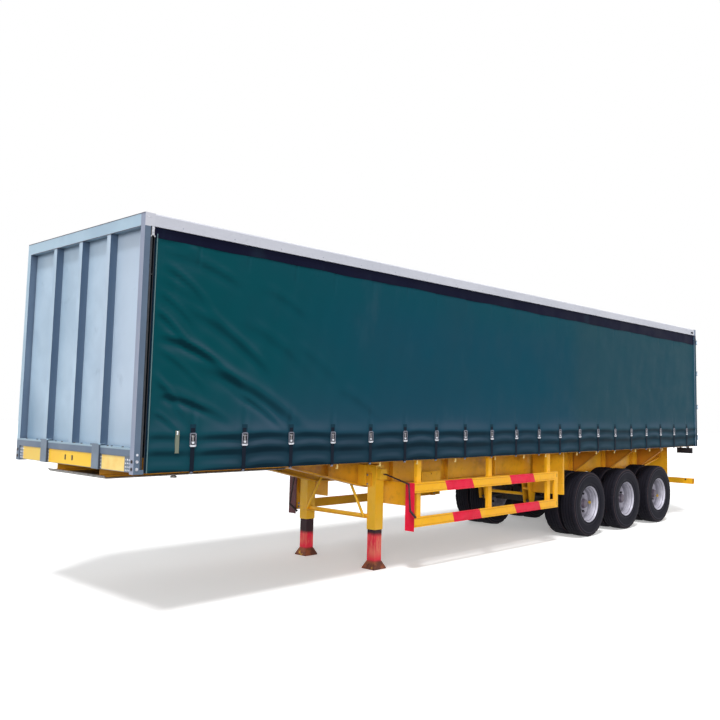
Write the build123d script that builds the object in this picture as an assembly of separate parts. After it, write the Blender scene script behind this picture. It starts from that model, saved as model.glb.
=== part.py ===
from build123d import *
import os

# A three-axle curtain-sided semi trailer, in millimetres.
# +X points to the front, +Y to the left side and +Z up.
# The origin is on the ground, at the middle of the length and the width.

# Whole trailer
overall_length = 12700
overall_width = 2500
overall_height = 3780
seat_gap = 0.3
cut_over = 5

# Load floor and its side rails
floor_top_z = 1530
floor_thickness = 28
rail_web_inset = 35
rail_shelf_width = 85
rail_wall = 8
rail_lip = 45
rail_bottom_z = 1395
hook_lip_height = 22

# Main beams
beam_y = 450
beam_flange_width = 140
beam_web_thickness = 10
beam_flange_thickness = 16
beam_bottom_z = 1010
bogie_bottom_z = 965
beam_tail_z = 1120
neck_bottom_z = 1310
neck_front_setback = 2400
neck_rear_setback = 3700
bogie_front_lead = 1228
bogie_step = 350
tail_taper_setback = 980
stiffener_thickness = 10
stiffener_members = (4, 6, 8, 10, 12, 14, 16, 18)
lug_plate_lag = 1055
lug_plate_length = 405
lug_plate_height = 146
lug_plate_thickness = 10
lug_hole_radius = 13
lug_hole_drop = 30

# Cross members
member_count = 21
member_width = 50
member_wall = 6
member_depth = 105
member_tip_depth = 60
member_first_setback = 450
member_last_setback = 550

# Coupling
coupler_thickness = 10
coupler_half_width = 600
coupler_rear_setback = 2300
coupler_front_setback = 70
kingpin_setback = 1200
kingpin_collar_radius = 35.7
kingpin_neck_radius = 25.4
kingpin_flange_radius = 60
kingpin_flange_thickness = 10
kingpin_neck_length = 34
kingpin_collar_length = 17.5
kingpin_shoulder_length = 42

# Front end beam and its two brackets
front_beam_depth = 90
front_beam_top_z = 1545
front_beam_bottom_z = 1400
front_beam_wall = 8
front_slot_width = 30
front_slot_height = 50
front_slot_ys = (-100, 50)
bracket_y = 530
bracket_width = 120
bracket_bottom_z = 1315
bracket_top_z = 1530

# Front wall
front_frame_depth = 100
front_post_outer_depth = 60
front_post_width = 72
front_post_step = 35
front_foot_bottom_z = 1385
front_foot_height = 40
front_rail_height = 75
top_rail_depth = 120
wall_panel_thickness = 25
stiffener_width = 70
stiffener_depth = 70
stiffener_draft = 12
wall_stiffener_shares = (-0.46, 0, 0.46)

# Side curtains, their buckles and poles
curtain_bottom_z = 1382
curtain_top_gap = 20
curtain_inset = 25
curtain_thickness = 6
curtain_pole_gap = 40
pole_radius = 13
buckle_count = 20
buckle_first_setback = 614
buckle_last_setback = 553
buckle_width = 50
buckle_height = 140
buckle_top_z = 1750
buckle_depth = 14
strap_width = 45
strap_thickness = 3
hook_drop = 14
valance_height = 115
valance_thickness = 4

# Roof
cant_rail_width = 80
cant_rail_height = 120
cant_rail_slope = 14
roof_thickness = 15
roof_top_drop = 4
bow_count = 16
bow_width = 60
bow_height = 50
bow_wall = 4
post_count = 3
post_length = 100
post_width = 55
post_inset = 100

# Rear frame and doors
rear_hardware_proud = 40
door_thickness = 30
door_seal_gap = 3
door_middle_gap = 8
door_edge_inset = 28
door_sill_overlap = 105
door_header_overlap = 65
door_border = 70
door_recess = 4
rear_frame_depth = 80
rear_post_width = 80
hinge_barrel_radius = 12
hinge_pin_radius = 6
hinge_blade_height = 60
hinge_blade_reach = 150
hinge_blade_thickness = 6
hinge_lug_height = 16
hinge_lug_width = 21
hinge_shares = (0.06, 0.33, 0.63, 0.91)
lock_rod_radius = 13
lock_rod_stand = 22
lock_shares = (0.22, 0.695)
lock_guide_shares = (0.12, 0.49, 0.87)
lock_guide_half = 30
lock_guide_height = 40
lock_cam_height = 36
lock_cam_half = 12
keeper_gap = 8
keeper_wall = 8
keeper_height = 38
lock_handle_share = 0.25
lock_handle_length = 420
lock_handle_height = 30
lock_handle_thickness = 8

# Wheels and tyres
axle_count = 3
axle_pitch = 1310
axle_last_setback = 1802
tyre_radius = 525
tyre_inset = 31.5
tyre_half_width = 139.5
tread_half_width = 112
tyre_shoulder_radius = 505
tyre_shoulder_half_width = 128
tyre_widest_radius = 412
bead_radius = 287
bead_half_width = 108
dual_half_spacing = 159
rim_lip_radius = 299
rim_lip_thickness = 9
rim_wall = 8
rim_well_radius = 262
rim_well_half_width = 45
disc_thickness = 12
disc_outer_radius = 205
disc_bore_radius = 140.5
hub_pilot_radius = 140
hub_pilot_depth = 26
hub_flange_radius = 190
hub_flange_thickness = 16
hub_barrel_radius = 92
hub_reach = 208
hub_cap_radius = 70
hub_cap_depth = 34
drum_outer_radius = 212
drum_inner_radius = 200
drum_width = 200
spindle_radius = 45
spindle_reach = 140

# Axles and suspension
axle_square = 120
axle_shoulder_inset = 280
spring_width = 76
spring_half_length = 575
spring_camber = 60
leaf_thickness = 16
leaf_length_shares = (1.0, 0.78, 0.5)
spring_seat_height = 55
spring_seat_length = 150
spring_seat_width = 110
u_bolt_radius = 9
clamp_thickness = 20
hanger_plate_thickness = 10
hanger_half_gap = 50
hanger_width = 300
hanger_foot_width = 130
hanger_pad_share = 0.67
end_hanger_reach = 662
hanger_bottom_z = 530
hanger_pad_thickness = 36
hanger_tube_z = 665
hanger_tube_radius = 25
equaliser_half_length = 165
equaliser_tip_height = 26
equaliser_height = 110
equaliser_crown = 60
equaliser_width = 90
equaliser_pin_radius = 20
rod_z = 560
rod_radius = 17
rod_eye_radius = 27
rod_eye_width = 60
rod_pin_radius = 12
chamber_radius = 82
chamber_front_length = 90
chamber_rear_length = 120
chamber_rear_radius = 74
chamber_band_radius = 88
chamber_band_length = 14
chamber_y = 290
chamber_z = 650
chamber_bracket_thickness = 14
chamber_bracket_width = 90
chamber_bracket_top = 60
cam_shaft_radius = 17
gusset_thickness = 8
gusset_tip_inset = 240
gusset_tip_height = 45
gusset_flange_width = 60
tank_radius = 123
tank_half_length = 330
tank_end_bevel = 35
tank_y = 190
tank_shares = (0.25, 0.6)
tank_saddle_length = 50
tank_saddle_width = 120
tank_saddle_height = 34

# Landing gear
leg_setback = 3750
leg_reach = 200
leg_square = 145
leg_wall = 8
leg_bottom_z = 490
leg_top_z = 1300
leg_mount_thickness = 12
leg_mount_length = 260
shoe_top_z = 95
shoe_half_length = 110
shoe_plate = 12
shoe_neck_share = 0.62
brace_z = 655
brace_size = 50
brace_wall = 6
brace_reach = 600
diagonal_radius = 17
diagonal_top_y = 230
diagonal_top_z = 1150
leg_gearbox_depth = 70
leg_gearbox_width = 120
leg_gearbox_height = 130
leg_gearbox_z = 1190
crank_radius = 10
crank_grip_radius = 14
crank_shaft_drop = 100
crank_tip_inset = 78
crank_shaft_back = 55
crank_stub = 40
crank_arm_drop = 330
crank_arm_back = 35
crank_grip_reach = 90
crank_grip_drop = 75
far_crank_reach = 130
far_crank_drop = 30
far_crank_arm_reach = 260
far_crank_arm_drop = 510
far_crank_arm_back = 20
far_crank_grip_return = 140
far_crank_grip_back = 20
far_crank_grip_drop = 90

# Side guards
guard_inset = 50
guard_leg_lag = 130
guard_axle_lead = 998
guard_profile_depth = 30
guard_top_z = 1100
guard_bottom_z = 553
guard_rail_height = 126
guard_groove_depth = 6
guard_groove_width = 10
guard_groove_inset = 14
guard_post_shares = (0.965, 0.516, 0.065)
guard_post_width = 80
guard_post_depth = 50
guard_plate_thickness = 6
guard_plate_width = 150
guard_plate_drop = 50
guard_upright_width = 100

# Mud shields, rear bumper and lamps
mud_shield_lead = 658
mud_shield_inset = 160
mud_shield_bottom_z = 710
mud_shield_thickness = 5
mud_shield_flange = 40
bumper_setback = 100
bumper_depth = 100
bumper_height = 110
bumper_bottom_z = 620
bumper_inset = 60
bumper_wall = 8
apron_half_width = 670
apron_thickness = 10
apron_bottom_z = 600
lamp_inset = 250
lamp_width = 320
lamp_bevel = 10
lamp_height = 110
lamp_depth = 50
lamp_top_z = 1345
lamp_tab_width = 40
lamp_tab_thickness = 8
guard_bracket_thickness = 10
guard_bracket_bottom_z = 790
guard_bracket_top_z = 1080

# Places worked out from the sizes above
front_x = overall_length / 2
rear_x = -front_x
side_y = overall_width / 2
floor_under_z = floor_top_z - floor_thickness
rail_web_y = side_y - rail_web_inset
rail_inner_y = rail_web_y - rail_shelf_width
door_face_x = rear_x + rear_hardware_proud
door_inner_x = door_face_x + door_thickness
frame_back_x = door_inner_x + door_seal_gap
frame_front_x = frame_back_x + rear_frame_depth
front_post_back_x = front_x - front_post_outer_depth
front_frame_back_x = front_x - front_frame_depth
beam_front_x = front_frame_back_x
neck_front_x = front_x - neck_front_setback
neck_rear_x = front_x - neck_rear_setback
leg_x = front_x - leg_setback
kingpin_x = front_x - kingpin_setback
coupler_rear_x = front_x - coupler_rear_setback
coupler_front_x = front_x - coupler_front_setback
member_first_x = front_x - member_first_setback
member_last_x = rear_x + member_last_setback
tail_taper_x = rear_x + tail_taper_setback
bumper_back_x = rear_x + bumper_setback
beam_tail_x = bumper_back_x + bumper_depth + apron_thickness
axle_last_x = rear_x + axle_last_setback
axle_xs = [axle_last_x + number * axle_pitch for number in reversed(range(axle_count))]
bogie_front_x = axle_xs[0] + bogie_front_lead
mud_shield_x = axle_xs[0] + mud_shield_lead
guard_rear_x = axle_xs[0] + guard_axle_lead
guard_front_x = leg_x - guard_leg_lag
guard_length = guard_front_x - guard_rear_x
guard_post_xs = [guard_rear_x + share * guard_length for share in guard_post_shares]
top_rail_bottom_z = overall_height - top_rail_depth
cant_bottom_z = overall_height - cant_rail_height
cant_inner_y = side_y - cant_rail_width
wall_bottom_z = front_beam_top_z + front_rail_height
front_beam_half_width = side_y - front_post_width
curtain_front_x = front_post_back_x - curtain_pole_gap
curtain_rear_x = frame_front_x
curtain_inner_y = side_y - curtain_inset
curtain_face_y = curtain_inner_y + curtain_thickness
curtain_top_z = cant_bottom_z - curtain_top_gap
valance_bottom_z = cant_bottom_z - valance_height
buckle_first_x = front_x - buckle_first_setback
buckle_last_x = rear_x + buckle_last_setback
door_edge_y = side_y - door_edge_inset
door_bottom_z = floor_top_z - door_sill_overlap
door_top_z = cant_bottom_z + door_header_overlap
door_height = door_top_z - door_bottom_z
hinge_lug_inner_y = side_y - hinge_lug_width
hinge_x = rear_x + hinge_barrel_radius
hinge_y = side_y - hinge_barrel_radius
dual_y = side_y - tyre_inset - tyre_half_width - dual_half_spacing
outer_tyre_y = dual_y + dual_half_spacing
inner_tyre_y = dual_y - dual_half_spacing
axle_z = tyre_radius
axle_top_z = axle_z + axle_square / 2
axle_shoulder_y = dual_y - axle_shoulder_inset
spindle_end_y = dual_y + spindle_reach
hub_end_y = dual_y + hub_reach
beam_inner_y = beam_y - beam_flange_width / 2
beam_outer_y = beam_y + beam_flange_width / 2
beam_web_inner_y = beam_y - beam_web_thickness / 2
beam_web_outer_y = beam_y + beam_web_thickness / 2
beam_under_top_z = floor_under_z - beam_flange_thickness
member_low_z = beam_under_top_z - member_depth
spring_y = beam_y
spring_bottom_z = axle_top_z + spring_seat_height
leg_y = beam_y + leg_reach
guard_face_y = side_y - guard_inset
guard_back_y = guard_face_y - guard_profile_depth
guard_post_inner_y = guard_back_y - guard_post_depth
gusset_tip_y = side_y - gusset_tip_inset
mud_shield_outer_y = side_y - mud_shield_inset
bumper_half_width = side_y - bumper_inset
lamp_y = side_y - lamp_inset

AXES = {"x": Vector(1, 0, 0), "y": Vector(0, 1, 0), "z": Vector(0, 0, 1)}


def place(axis, first, second, level):
    """A point given by its two coordinates across an axis and its level on it."""
    if axis == "x":
        return Vector(level, first, second)
    if axis == "y":
        return Vector(first, level, second)
    return Vector(first, second, level)


def outline(axis, level, corners):
    """A flat face across an axis. A corner with four values ends an arc through its last two."""
    edges = []
    here = corners[-1]
    for corner in corners:
        start = place(axis, here[0], here[1], level)
        end = place(axis, corner[0], corner[1], level)
        if len(corner) == 4:
            middle = place(axis, corner[2], corner[3], level)
            edges.append(Edge.make_three_point_arc(start, middle, end))
        else:
            edges.append(Edge.make_line(start, end))
        here = corner
    return Face(Wire(edges))


def prism(axis, low, high, corners):
    """An outline drawn across an axis and extruded along it from low to high."""
    return extrude(outline(axis, low, corners), amount=high - low, dir=AXES[axis])


def block(x0, x1, y0, y1, z0, z1):
    """A square block between two corners."""
    return Pos((x0 + x1) / 2, (y0 + y1) / 2, (z0 + z1) / 2) * Box(x1 - x0, y1 - y0, z1 - z0)


def rod(start, end, radius):
    """A round bar between two points."""
    run = Vector(*end) - Vector(*start)
    return Solid.make_cylinder(radius, run.length, Plane(origin=start, z_dir=run))


def turned(corners):
    """A solid of revolution about the Y axis, from points of radius and place along Y."""
    return revolve(outline("z", 0, corners), axis=Axis.Y)


def flip(shape):
    """The same shape on the other side of the trailer."""
    return mirror(shape, about=Plane.XZ)


def both(shape):
    """A shape and its mirror image on the other side."""
    return [shape, flip(shape)]


def beam_bottom():
    """The underside of a main beam in the side view, from the tail to the neck."""
    return [
        (beam_tail_x, beam_tail_z),
        (tail_taper_x, bogie_bottom_z),
        (bogie_front_x - bogie_step, bogie_bottom_z),
        (bogie_front_x, beam_bottom_z),
        (neck_rear_x, beam_bottom_z),
        (neck_front_x, neck_bottom_z),
        (beam_front_x, neck_bottom_z),
    ]


def bottom_at(x):
    """The height of a main beam's underside at one place along it."""
    points = beam_bottom()
    for (x0, z0), (x1, z1) in zip(points, points[1:]):
        if x0 <= x <= x1:
            return z0 + (z1 - z0) * (x - x0) / (x1 - x0)
    return neck_bottom_z


def main_beam():
    """The left main beam: web, two flanges, upright stiffeners and a lug plate."""
    under = beam_bottom()
    top = [(beam_front_x, floor_under_z), (beam_tail_x, floor_under_z)]
    web = prism("y", beam_web_inner_y, beam_web_outer_y, under + top)
    raised = [(x, z + beam_flange_thickness) for x, z in reversed(under)]
    lower = prism("y", beam_inner_y, beam_outer_y, under + raised)
    upper = block(beam_tail_x, beam_front_x, beam_inner_y, beam_outer_y, beam_under_top_z, floor_under_z)
    beam = web + lower + upper
    xs = member_xs()
    for number in stiffener_members:
        x = (xs[number] + xs[number + 1] + member_width) / 2
        low = bottom_at(x) + beam_flange_thickness / 2
        beam += block(x, x + stiffener_thickness, beam_inner_y, beam_outer_y, low, beam_under_top_z)
    plate_x = leg_x - lug_plate_lag
    plate_y = beam_outer_y + lug_plate_thickness
    plate_top_z = beam_bottom_z + lug_plate_height
    beam += block(plate_x - lug_plate_length, plate_x, beam_outer_y, plate_y, beam_bottom_z, plate_top_z)
    hole_x = plate_x - lug_plate_length / 2
    hole_z = plate_top_z - lug_hole_drop
    hole_in = (hole_x, beam_outer_y - cut_over, hole_z)
    return beam - rod(hole_in, (hole_x, plate_y + cut_over, hole_z), lug_hole_radius)


def main_beams():
    return both(main_beam())


def member_xs():
    """The rear face of every cross member, from the front one to the rear one."""
    pitch = (member_first_x - member_last_x) / (member_count - 1)
    return [member_first_x - number * pitch for number in range(member_count)]


def cross_members():
    """Pressed channels between the beams, and tapered outriggers from each beam to the rail."""
    top_z = beam_under_top_z
    tip_y = rail_web_y - rail_wall
    tip_z = floor_under_z - member_tip_depth
    middle = [
        (-beam_web_inner_y, member_low_z),
        (beam_web_inner_y, member_low_z),
        (beam_web_inner_y, top_z),
        (-beam_web_inner_y, top_z),
    ]
    middle_pocket = [
        (-beam_web_inner_y, member_low_z + member_wall),
        (beam_web_inner_y, member_low_z + member_wall),
        (beam_web_inner_y, top_z - member_wall),
        (-beam_web_inner_y, top_z - member_wall),
    ]
    wing = [
        (beam_web_outer_y, member_low_z),
        (beam_outer_y, member_low_z),
        (tip_y, tip_z),
        (tip_y, floor_under_z),
        (beam_outer_y, floor_under_z),
        (beam_outer_y, top_z),
        (beam_web_outer_y, top_z),
    ]
    wing_pocket = [
        (beam_web_outer_y, member_low_z + member_wall),
        (beam_outer_y, member_low_z + member_wall),
        (tip_y, tip_z + member_wall),
        (tip_y, floor_under_z - member_wall),
        (beam_outer_y + member_wall, floor_under_z - member_wall),
        (beam_outer_y + member_wall, top_z - member_wall),
        (beam_web_outer_y, top_z - member_wall),
    ]
    solids = []
    for x in member_xs():
        web_x = x + member_width - member_wall
        member = prism("x", x, x + member_width, middle)
        solids.append(member - prism("x", x - cut_over, web_x, middle_pocket))
        outrigger = prism("x", x, x + member_width, wing)
        solids += both(outrigger - prism("x", x - cut_over, web_x, wing_pocket))
    return solids


def side_rails():
    """The outer floor rails, with the lip that the curtain hooks pull on."""
    outer = rail_web_y
    profile = [
        (outer, rail_bottom_z - hook_lip_height / 2),
        (outer, floor_top_z),
        (rail_inner_y, floor_top_z),
        (rail_inner_y, floor_under_z),
        (outer - rail_wall, floor_under_z),
        (outer - rail_wall, rail_bottom_z + rail_wall),
        (outer - rail_lip, rail_bottom_z + rail_wall),
        (outer - rail_lip, rail_bottom_z),
        (outer - rail_wall, rail_bottom_z),
        (outer - rail_wall, rail_bottom_z - hook_lip_height / 2),
    ]
    return both(prism("x", frame_front_x, front_frame_back_x, profile))


def floor():
    return [block(frame_front_x, front_frame_back_x, -rail_inner_y, rail_inner_y, floor_under_z, floor_top_z)]


def coupler_plate():
    """The rubbing plate under the neck, with its front and rear edges turned up."""
    low_z = neck_bottom_z - coupler_thickness
    bend = coupler_thickness * 2
    profile = [
        (coupler_rear_x, low_z + bend),
        (coupler_rear_x + bend, low_z),
        (coupler_front_x - bend, low_z),
        (coupler_front_x, low_z + bend),
        (coupler_front_x, neck_bottom_z + bend),
        (coupler_front_x - bend, neck_bottom_z),
        (coupler_rear_x + bend, neck_bottom_z),
        (coupler_rear_x, neck_bottom_z + bend),
    ]
    sheet = prism("y", -coupler_half_width, coupler_half_width, profile)
    high_z = neck_bottom_z + bend + cut_over
    front = (beam_front_x - bend - cut_over, beam_front_x)
    rear = (coupler_rear_x - cut_over, coupler_rear_x + bend)
    for x0, x1 in (front, rear):
        sheet -= block(x0, x1, beam_inner_y, beam_outer_y, neck_bottom_z, high_z)
        sheet -= block(x0, x1, -beam_outer_y, -beam_inner_y, neck_bottom_z, high_z)
    hole_low = (kingpin_x, 0, low_z - cut_over)
    hole_high = (kingpin_x, 0, neck_bottom_z + cut_over)
    return [sheet - rod(hole_low, hole_high, kingpin_collar_radius + seat_gap)]


def kingpin():
    """The coupling pin: its flange on the plate, then shoulder, narrow neck and collar."""
    z1 = neck_bottom_z
    z2 = z1 - kingpin_shoulder_length
    z3 = z2 - kingpin_neck_length
    z4 = z3 - kingpin_collar_length
    steps = [
        (kingpin_flange_radius, z1, z1 + kingpin_flange_thickness),
        (kingpin_collar_radius, z2, z1),
        (kingpin_neck_radius, z3, z2),
        (kingpin_collar_radius, z4, z3),
    ]
    pin = None
    for radius, low, high in steps:
        disc = rod((kingpin_x, 0, low), (kingpin_x, 0, high), radius)
        pin = disc if pin is None else pin + disc
    return [pin]


def front_beam():
    """The channel across the nose below the wall, with its two slots."""
    back = front_x - front_frame_depth
    face = back + front_beam_depth
    wall = front_beam_wall
    profile = [
        (back, front_beam_bottom_z),
        (face, front_beam_bottom_z),
        (face, front_beam_top_z),
        (back, front_beam_top_z),
        (back, front_beam_top_z - wall),
        (face - wall, front_beam_top_z - wall),
        (face - wall, front_beam_bottom_z + wall),
        (back, front_beam_bottom_z + wall),
    ]
    beam = prism("y", -front_beam_half_width, front_beam_half_width, profile)
    middle_z = (front_beam_bottom_z + front_beam_top_z) / 2
    for y in front_slot_ys:
        beam -= block(
            face - wall - cut_over, face + cut_over,
            y - front_slot_width / 2, y + front_slot_width / 2,
            middle_z - front_slot_height / 2, middle_z + front_slot_height / 2)
    return [beam]


def front_brackets():
    """Two lugs on the nose with rounded tops."""
    face = front_x - front_frame_depth + front_beam_depth
    half = bracket_width / 2
    shoulder_z = bracket_top_z - half
    profile = [
        (bracket_y - half, bracket_bottom_z),
        (bracket_y + half, bracket_bottom_z),
        (bracket_y + half, shoulder_z),
        (bracket_y - half, shoulder_z, bracket_y, bracket_top_z),
    ]
    return both(prism("x", face, front_x, profile))


def front_frame():
    """Corner posts, top rail and bottom rail of the front wall, welded into one."""
    post = [
        (front_x, side_y),
        (front_post_back_x, side_y),
        (front_post_back_x, side_y - front_post_step),
        (front_frame_back_x, side_y - front_post_step),
        (front_frame_back_x, side_y - front_post_width),
        (front_x, side_y - front_post_width),
    ]
    foot = [
        (front_x, side_y),
        (front_frame_back_x, side_y),
        (front_frame_back_x, side_y - front_post_width),
        (front_x, side_y - front_post_width),
    ]
    frame = block(front_frame_back_x, front_x, -side_y, side_y, top_rail_bottom_z, overall_height)
    inner = side_y - front_post_width
    frame += block(front_frame_back_x, front_x, -inner, inner, front_beam_top_z, wall_bottom_z)
    for side in (1, -1):
        corners = [(x, side * y) for x, y in post]
        feet = [(x, side * y) for x, y in foot]
        frame += prism("z", front_foot_bottom_z, top_rail_bottom_z, corners)
        frame += prism("z", front_foot_bottom_z, front_foot_bottom_z + front_foot_height, feet)
    return [frame]


def front_wall():
    """The front wall panel with its three upright stiffeners."""
    back = front_frame_back_x
    face = back + wall_panel_thickness
    inner = side_y - front_post_width
    points = [(back, -inner), (face, -inner)]
    for share in wall_stiffener_shares:
        y = share * side_y
        half = stiffener_width / 2
        points += [
            (face, y - half - stiffener_draft),
            (face + stiffener_depth, y - half),
            (face + stiffener_depth, y + half),
            (face, y + half + stiffener_draft),
        ]
    points += [(face, inner), (back, inner)]
    return [prism("z", wall_bottom_z, top_rail_bottom_z, points)]


def cant_rails():
    """The top side rails, sloped on their outer shoulder."""
    profile = [
        (side_y, cant_bottom_z),
        (side_y, overall_height - cant_rail_slope),
        (side_y - cant_rail_slope, overall_height),
        (cant_inner_y, overall_height),
        (cant_inner_y, cant_bottom_z),
    ]
    return both(prism("x", frame_front_x, front_frame_back_x, profile))


def roof():
    top = overall_height - roof_top_drop
    return [block(frame_front_x, front_frame_back_x, -cant_inner_y, cant_inner_y, top - roof_thickness, top)]


def roof_bows():
    """Hat-section bows under the roof, from one top rail to the other."""
    top = overall_height - roof_top_drop - roof_thickness
    length = front_frame_back_x - frame_front_x
    pitch = length / (bow_count + 1)
    solids = []
    for number in range(bow_count):
        x = frame_front_x + (number + 1) * pitch
        half = bow_width / 2
        profile = [
            (x - half, top),
            (x - half, top - bow_height),
            (x + half, top - bow_height),
            (x + half, top),
            (x + half - bow_wall, top),
            (x + half - bow_wall, top - bow_height + bow_wall),
            (x - half + bow_wall, top - bow_height + bow_wall),
            (x - half + bow_wall, top),
        ]
        solids.append(prism("y", -cant_inner_y, cant_inner_y, profile))
    return solids


def side_posts():
    """Sliding posts inside each curtain, between the floor rail and the top rail."""
    solids = []
    pitch = (front_frame_back_x - frame_front_x) / (post_count + 1)
    inner_y = side_y - post_inset
    for number in range(post_count):
        x = frame_front_x + (number + 1) * pitch
        post = block(
            x - post_length / 2, x + post_length / 2,
            inner_y, inner_y + post_width,
            floor_top_z, cant_bottom_z)
        solids += both(post)
    return solids


def curtain_poles():
    """The upright tension pole at the front edge of each curtain."""
    y = side_y - front_post_step + pole_radius + seat_gap
    x = curtain_front_x + curtain_pole_gap / 2
    low = front_foot_bottom_z + front_foot_height
    return both(rod((x, y, low), (x, y, top_rail_bottom_z), pole_radius))


def curtain():
    """The plain outer form of one side curtain."""
    return block(
        curtain_rear_x, curtain_front_x,
        curtain_inner_y, curtain_face_y,
        curtain_bottom_z, curtain_top_z)


def valances():
    """The flap that hangs from each top rail over the curtain's edge."""
    rows = block(
        curtain_rear_x, curtain_front_x,
        curtain_face_y, curtain_face_y + valance_thickness,
        valance_bottom_z, cant_bottom_z)
    return both(rows)


def buckles():
    """Straps with over-centre buckles, each hooked under the floor rail."""
    solids = []
    pitch = (buckle_first_x - buckle_last_x) / (buckle_count - 1)
    for number in range(buckle_count):
        x = buckle_first_x - number * pitch
        half = strap_width / 2
        face = curtain_face_y
        strap = [
            (face, buckle_top_z - buckle_height),
            (face, curtain_bottom_z - seat_gap),
            (rail_web_y, curtain_bottom_z - seat_gap),
            (rail_web_y, curtain_bottom_z - hook_drop),
            (face + strap_thickness, curtain_bottom_z - hook_drop),
            (face + strap_thickness, buckle_top_z - buckle_height),
        ]
        band = prism("x", x - half, x + half, strap)
        low = buckle_top_z - buckle_height
        lever = [
            (face, low),
            (face + buckle_depth, low + buckle_depth),
            (face + buckle_depth, buckle_top_z - buckle_depth * 2),
            (face + strap_thickness, buckle_top_z),
            (face, buckle_top_z),
        ]
        solids.append(band + prism("x", x - buckle_width / 2, x + buckle_width / 2, lever))
    return solids


def hinge_zs():
    """The middle height of each door hinge."""
    return [door_bottom_z + share * door_height for share in hinge_shares]


def lock_ys():
    """The place of each lock rod across the left door."""
    inner_y = door_middle_gap / 2
    return [inner_y + share * (door_edge_y - inner_y) for share in lock_shares]


def rear_frame():
    """The rear portal: sill, two posts and header, with hinge lugs, pins and lock keepers."""
    inner = side_y - rear_post_width
    frame = block(frame_back_x, frame_front_x, -side_y, side_y, curtain_bottom_z, overall_height)
    frame -= block(
        frame_back_x - cut_over, frame_front_x + cut_over,
        -inner, inner, floor_top_z, cant_bottom_z)
    lug = [
        (frame_back_x, side_y),
        (frame_back_x, hinge_lug_inner_y),
        (hinge_x, hinge_y - hinge_barrel_radius),
        (hinge_x, side_y, rear_x, hinge_y),
    ]
    stand = hinge_blade_height / 2 + seat_gap
    reach = stand + hinge_lug_height / 2
    for z in hinge_zs():
        for low in (z - stand - hinge_lug_height, z + stand):
            part = prism("z", low, low + hinge_lug_height, lug)
            frame += part
            frame += flip(part)
        pin = rod((hinge_x, hinge_y, z - reach), (hinge_x, hinge_y, z + reach), hinge_pin_radius)
        frame += pin
        frame += flip(pin)
    for y in lock_ys():
        for z in (door_bottom_z - keeper_height - keeper_gap, door_top_z + keeper_gap):
            for near in (y - lock_cam_half - keeper_gap - keeper_wall, y + lock_cam_half + keeper_gap):
                keeper = block(rear_x, frame_back_x, near, near + keeper_wall, z, z + keeper_height)
                frame += keeper
                frame += flip(keeper)
    return [frame]


def door():
    """The left rear door: a framed leaf with its four hinge blades."""
    inner_y = door_middle_gap / 2
    leaf = block(door_face_x, door_inner_x, inner_y, door_edge_y, door_bottom_z, door_top_z)
    outside = (door_face_x - cut_over, door_face_x + door_recess)
    inside = (door_inner_x - door_recess, door_inner_x + cut_over)
    for x0, x1 in (outside, inside):
        leaf -= block(
            x0, x1,
            inner_y + door_border, door_edge_y - door_border,
            door_bottom_z + door_border, door_top_z - door_border)
    blade_x = door_face_x - hinge_blade_thickness
    blade = [
        (hinge_x, side_y),
        (hinge_x, hinge_y - hinge_barrel_radius, rear_x, hinge_y),
        (blade_x, hinge_y - hinge_barrel_radius * 2),
        (blade_x, hinge_y - hinge_blade_reach),
        (door_face_x, hinge_y - hinge_blade_reach),
        (door_face_x, door_edge_y),
        (hinge_x + hinge_barrel_radius, hinge_y),
    ]
    for z in hinge_zs():
        low = z - hinge_blade_height / 2
        high = z + hinge_blade_height / 2
        bore_low = (hinge_x, hinge_y, low - cut_over)
        bore_high = (hinge_x, hinge_y, high + cut_over)
        leaf += prism("z", low, high, blade) - rod(bore_low, bore_high, hinge_pin_radius + seat_gap)
    return leaf


def door_locks():
    """The left door's two lock rods with guides, cams and handles."""
    solids = []
    rod_x = door_face_x - lock_rod_stand
    handle_z = door_bottom_z + lock_handle_share * door_height
    for y in lock_ys():
        low = door_bottom_z - lock_cam_height / 2
        high = door_top_z + lock_cam_height / 2
        bar = rod((rod_x, y, low), (rod_x, y, high), lock_rod_radius)
        for share in lock_guide_shares:
            z = door_bottom_z + share * door_height
            bar += block(
                rod_x - lock_rod_radius, door_face_x,
                y - lock_guide_half, y + lock_guide_half,
                z - lock_guide_height / 2, z + lock_guide_height / 2)
        for z in (low, high - lock_cam_height):
            bar += block(rod_x, door_face_x, y - lock_cam_half, y + lock_cam_half, z, z + lock_cam_height)
        handle_y = y - lock_handle_length / 2
        bar += block(
            rod_x - lock_handle_thickness / 2, rod_x + lock_handle_thickness / 2,
            handle_y, y,
            handle_z - lock_handle_height / 2, handle_z + lock_handle_height / 2)
        solids.append(bar)
    return solids


def tyre(centre_y):
    """One tyre as a turned ring that sits on its rim."""
    half = [
        (bead_radius + seat_gap, bead_half_width),
        (rim_lip_radius + seat_gap, bead_half_width),
        (tyre_widest_radius, tyre_half_width),
        (tyre_shoulder_radius, tyre_shoulder_half_width),
        (tyre_radius, tread_half_width),
    ]
    inner = [(radius, centre_y - width) for radius, width in half]
    outer = [(radius, centre_y + width) for radius, width in reversed(half)]
    return turned(inner + outer)


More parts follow.
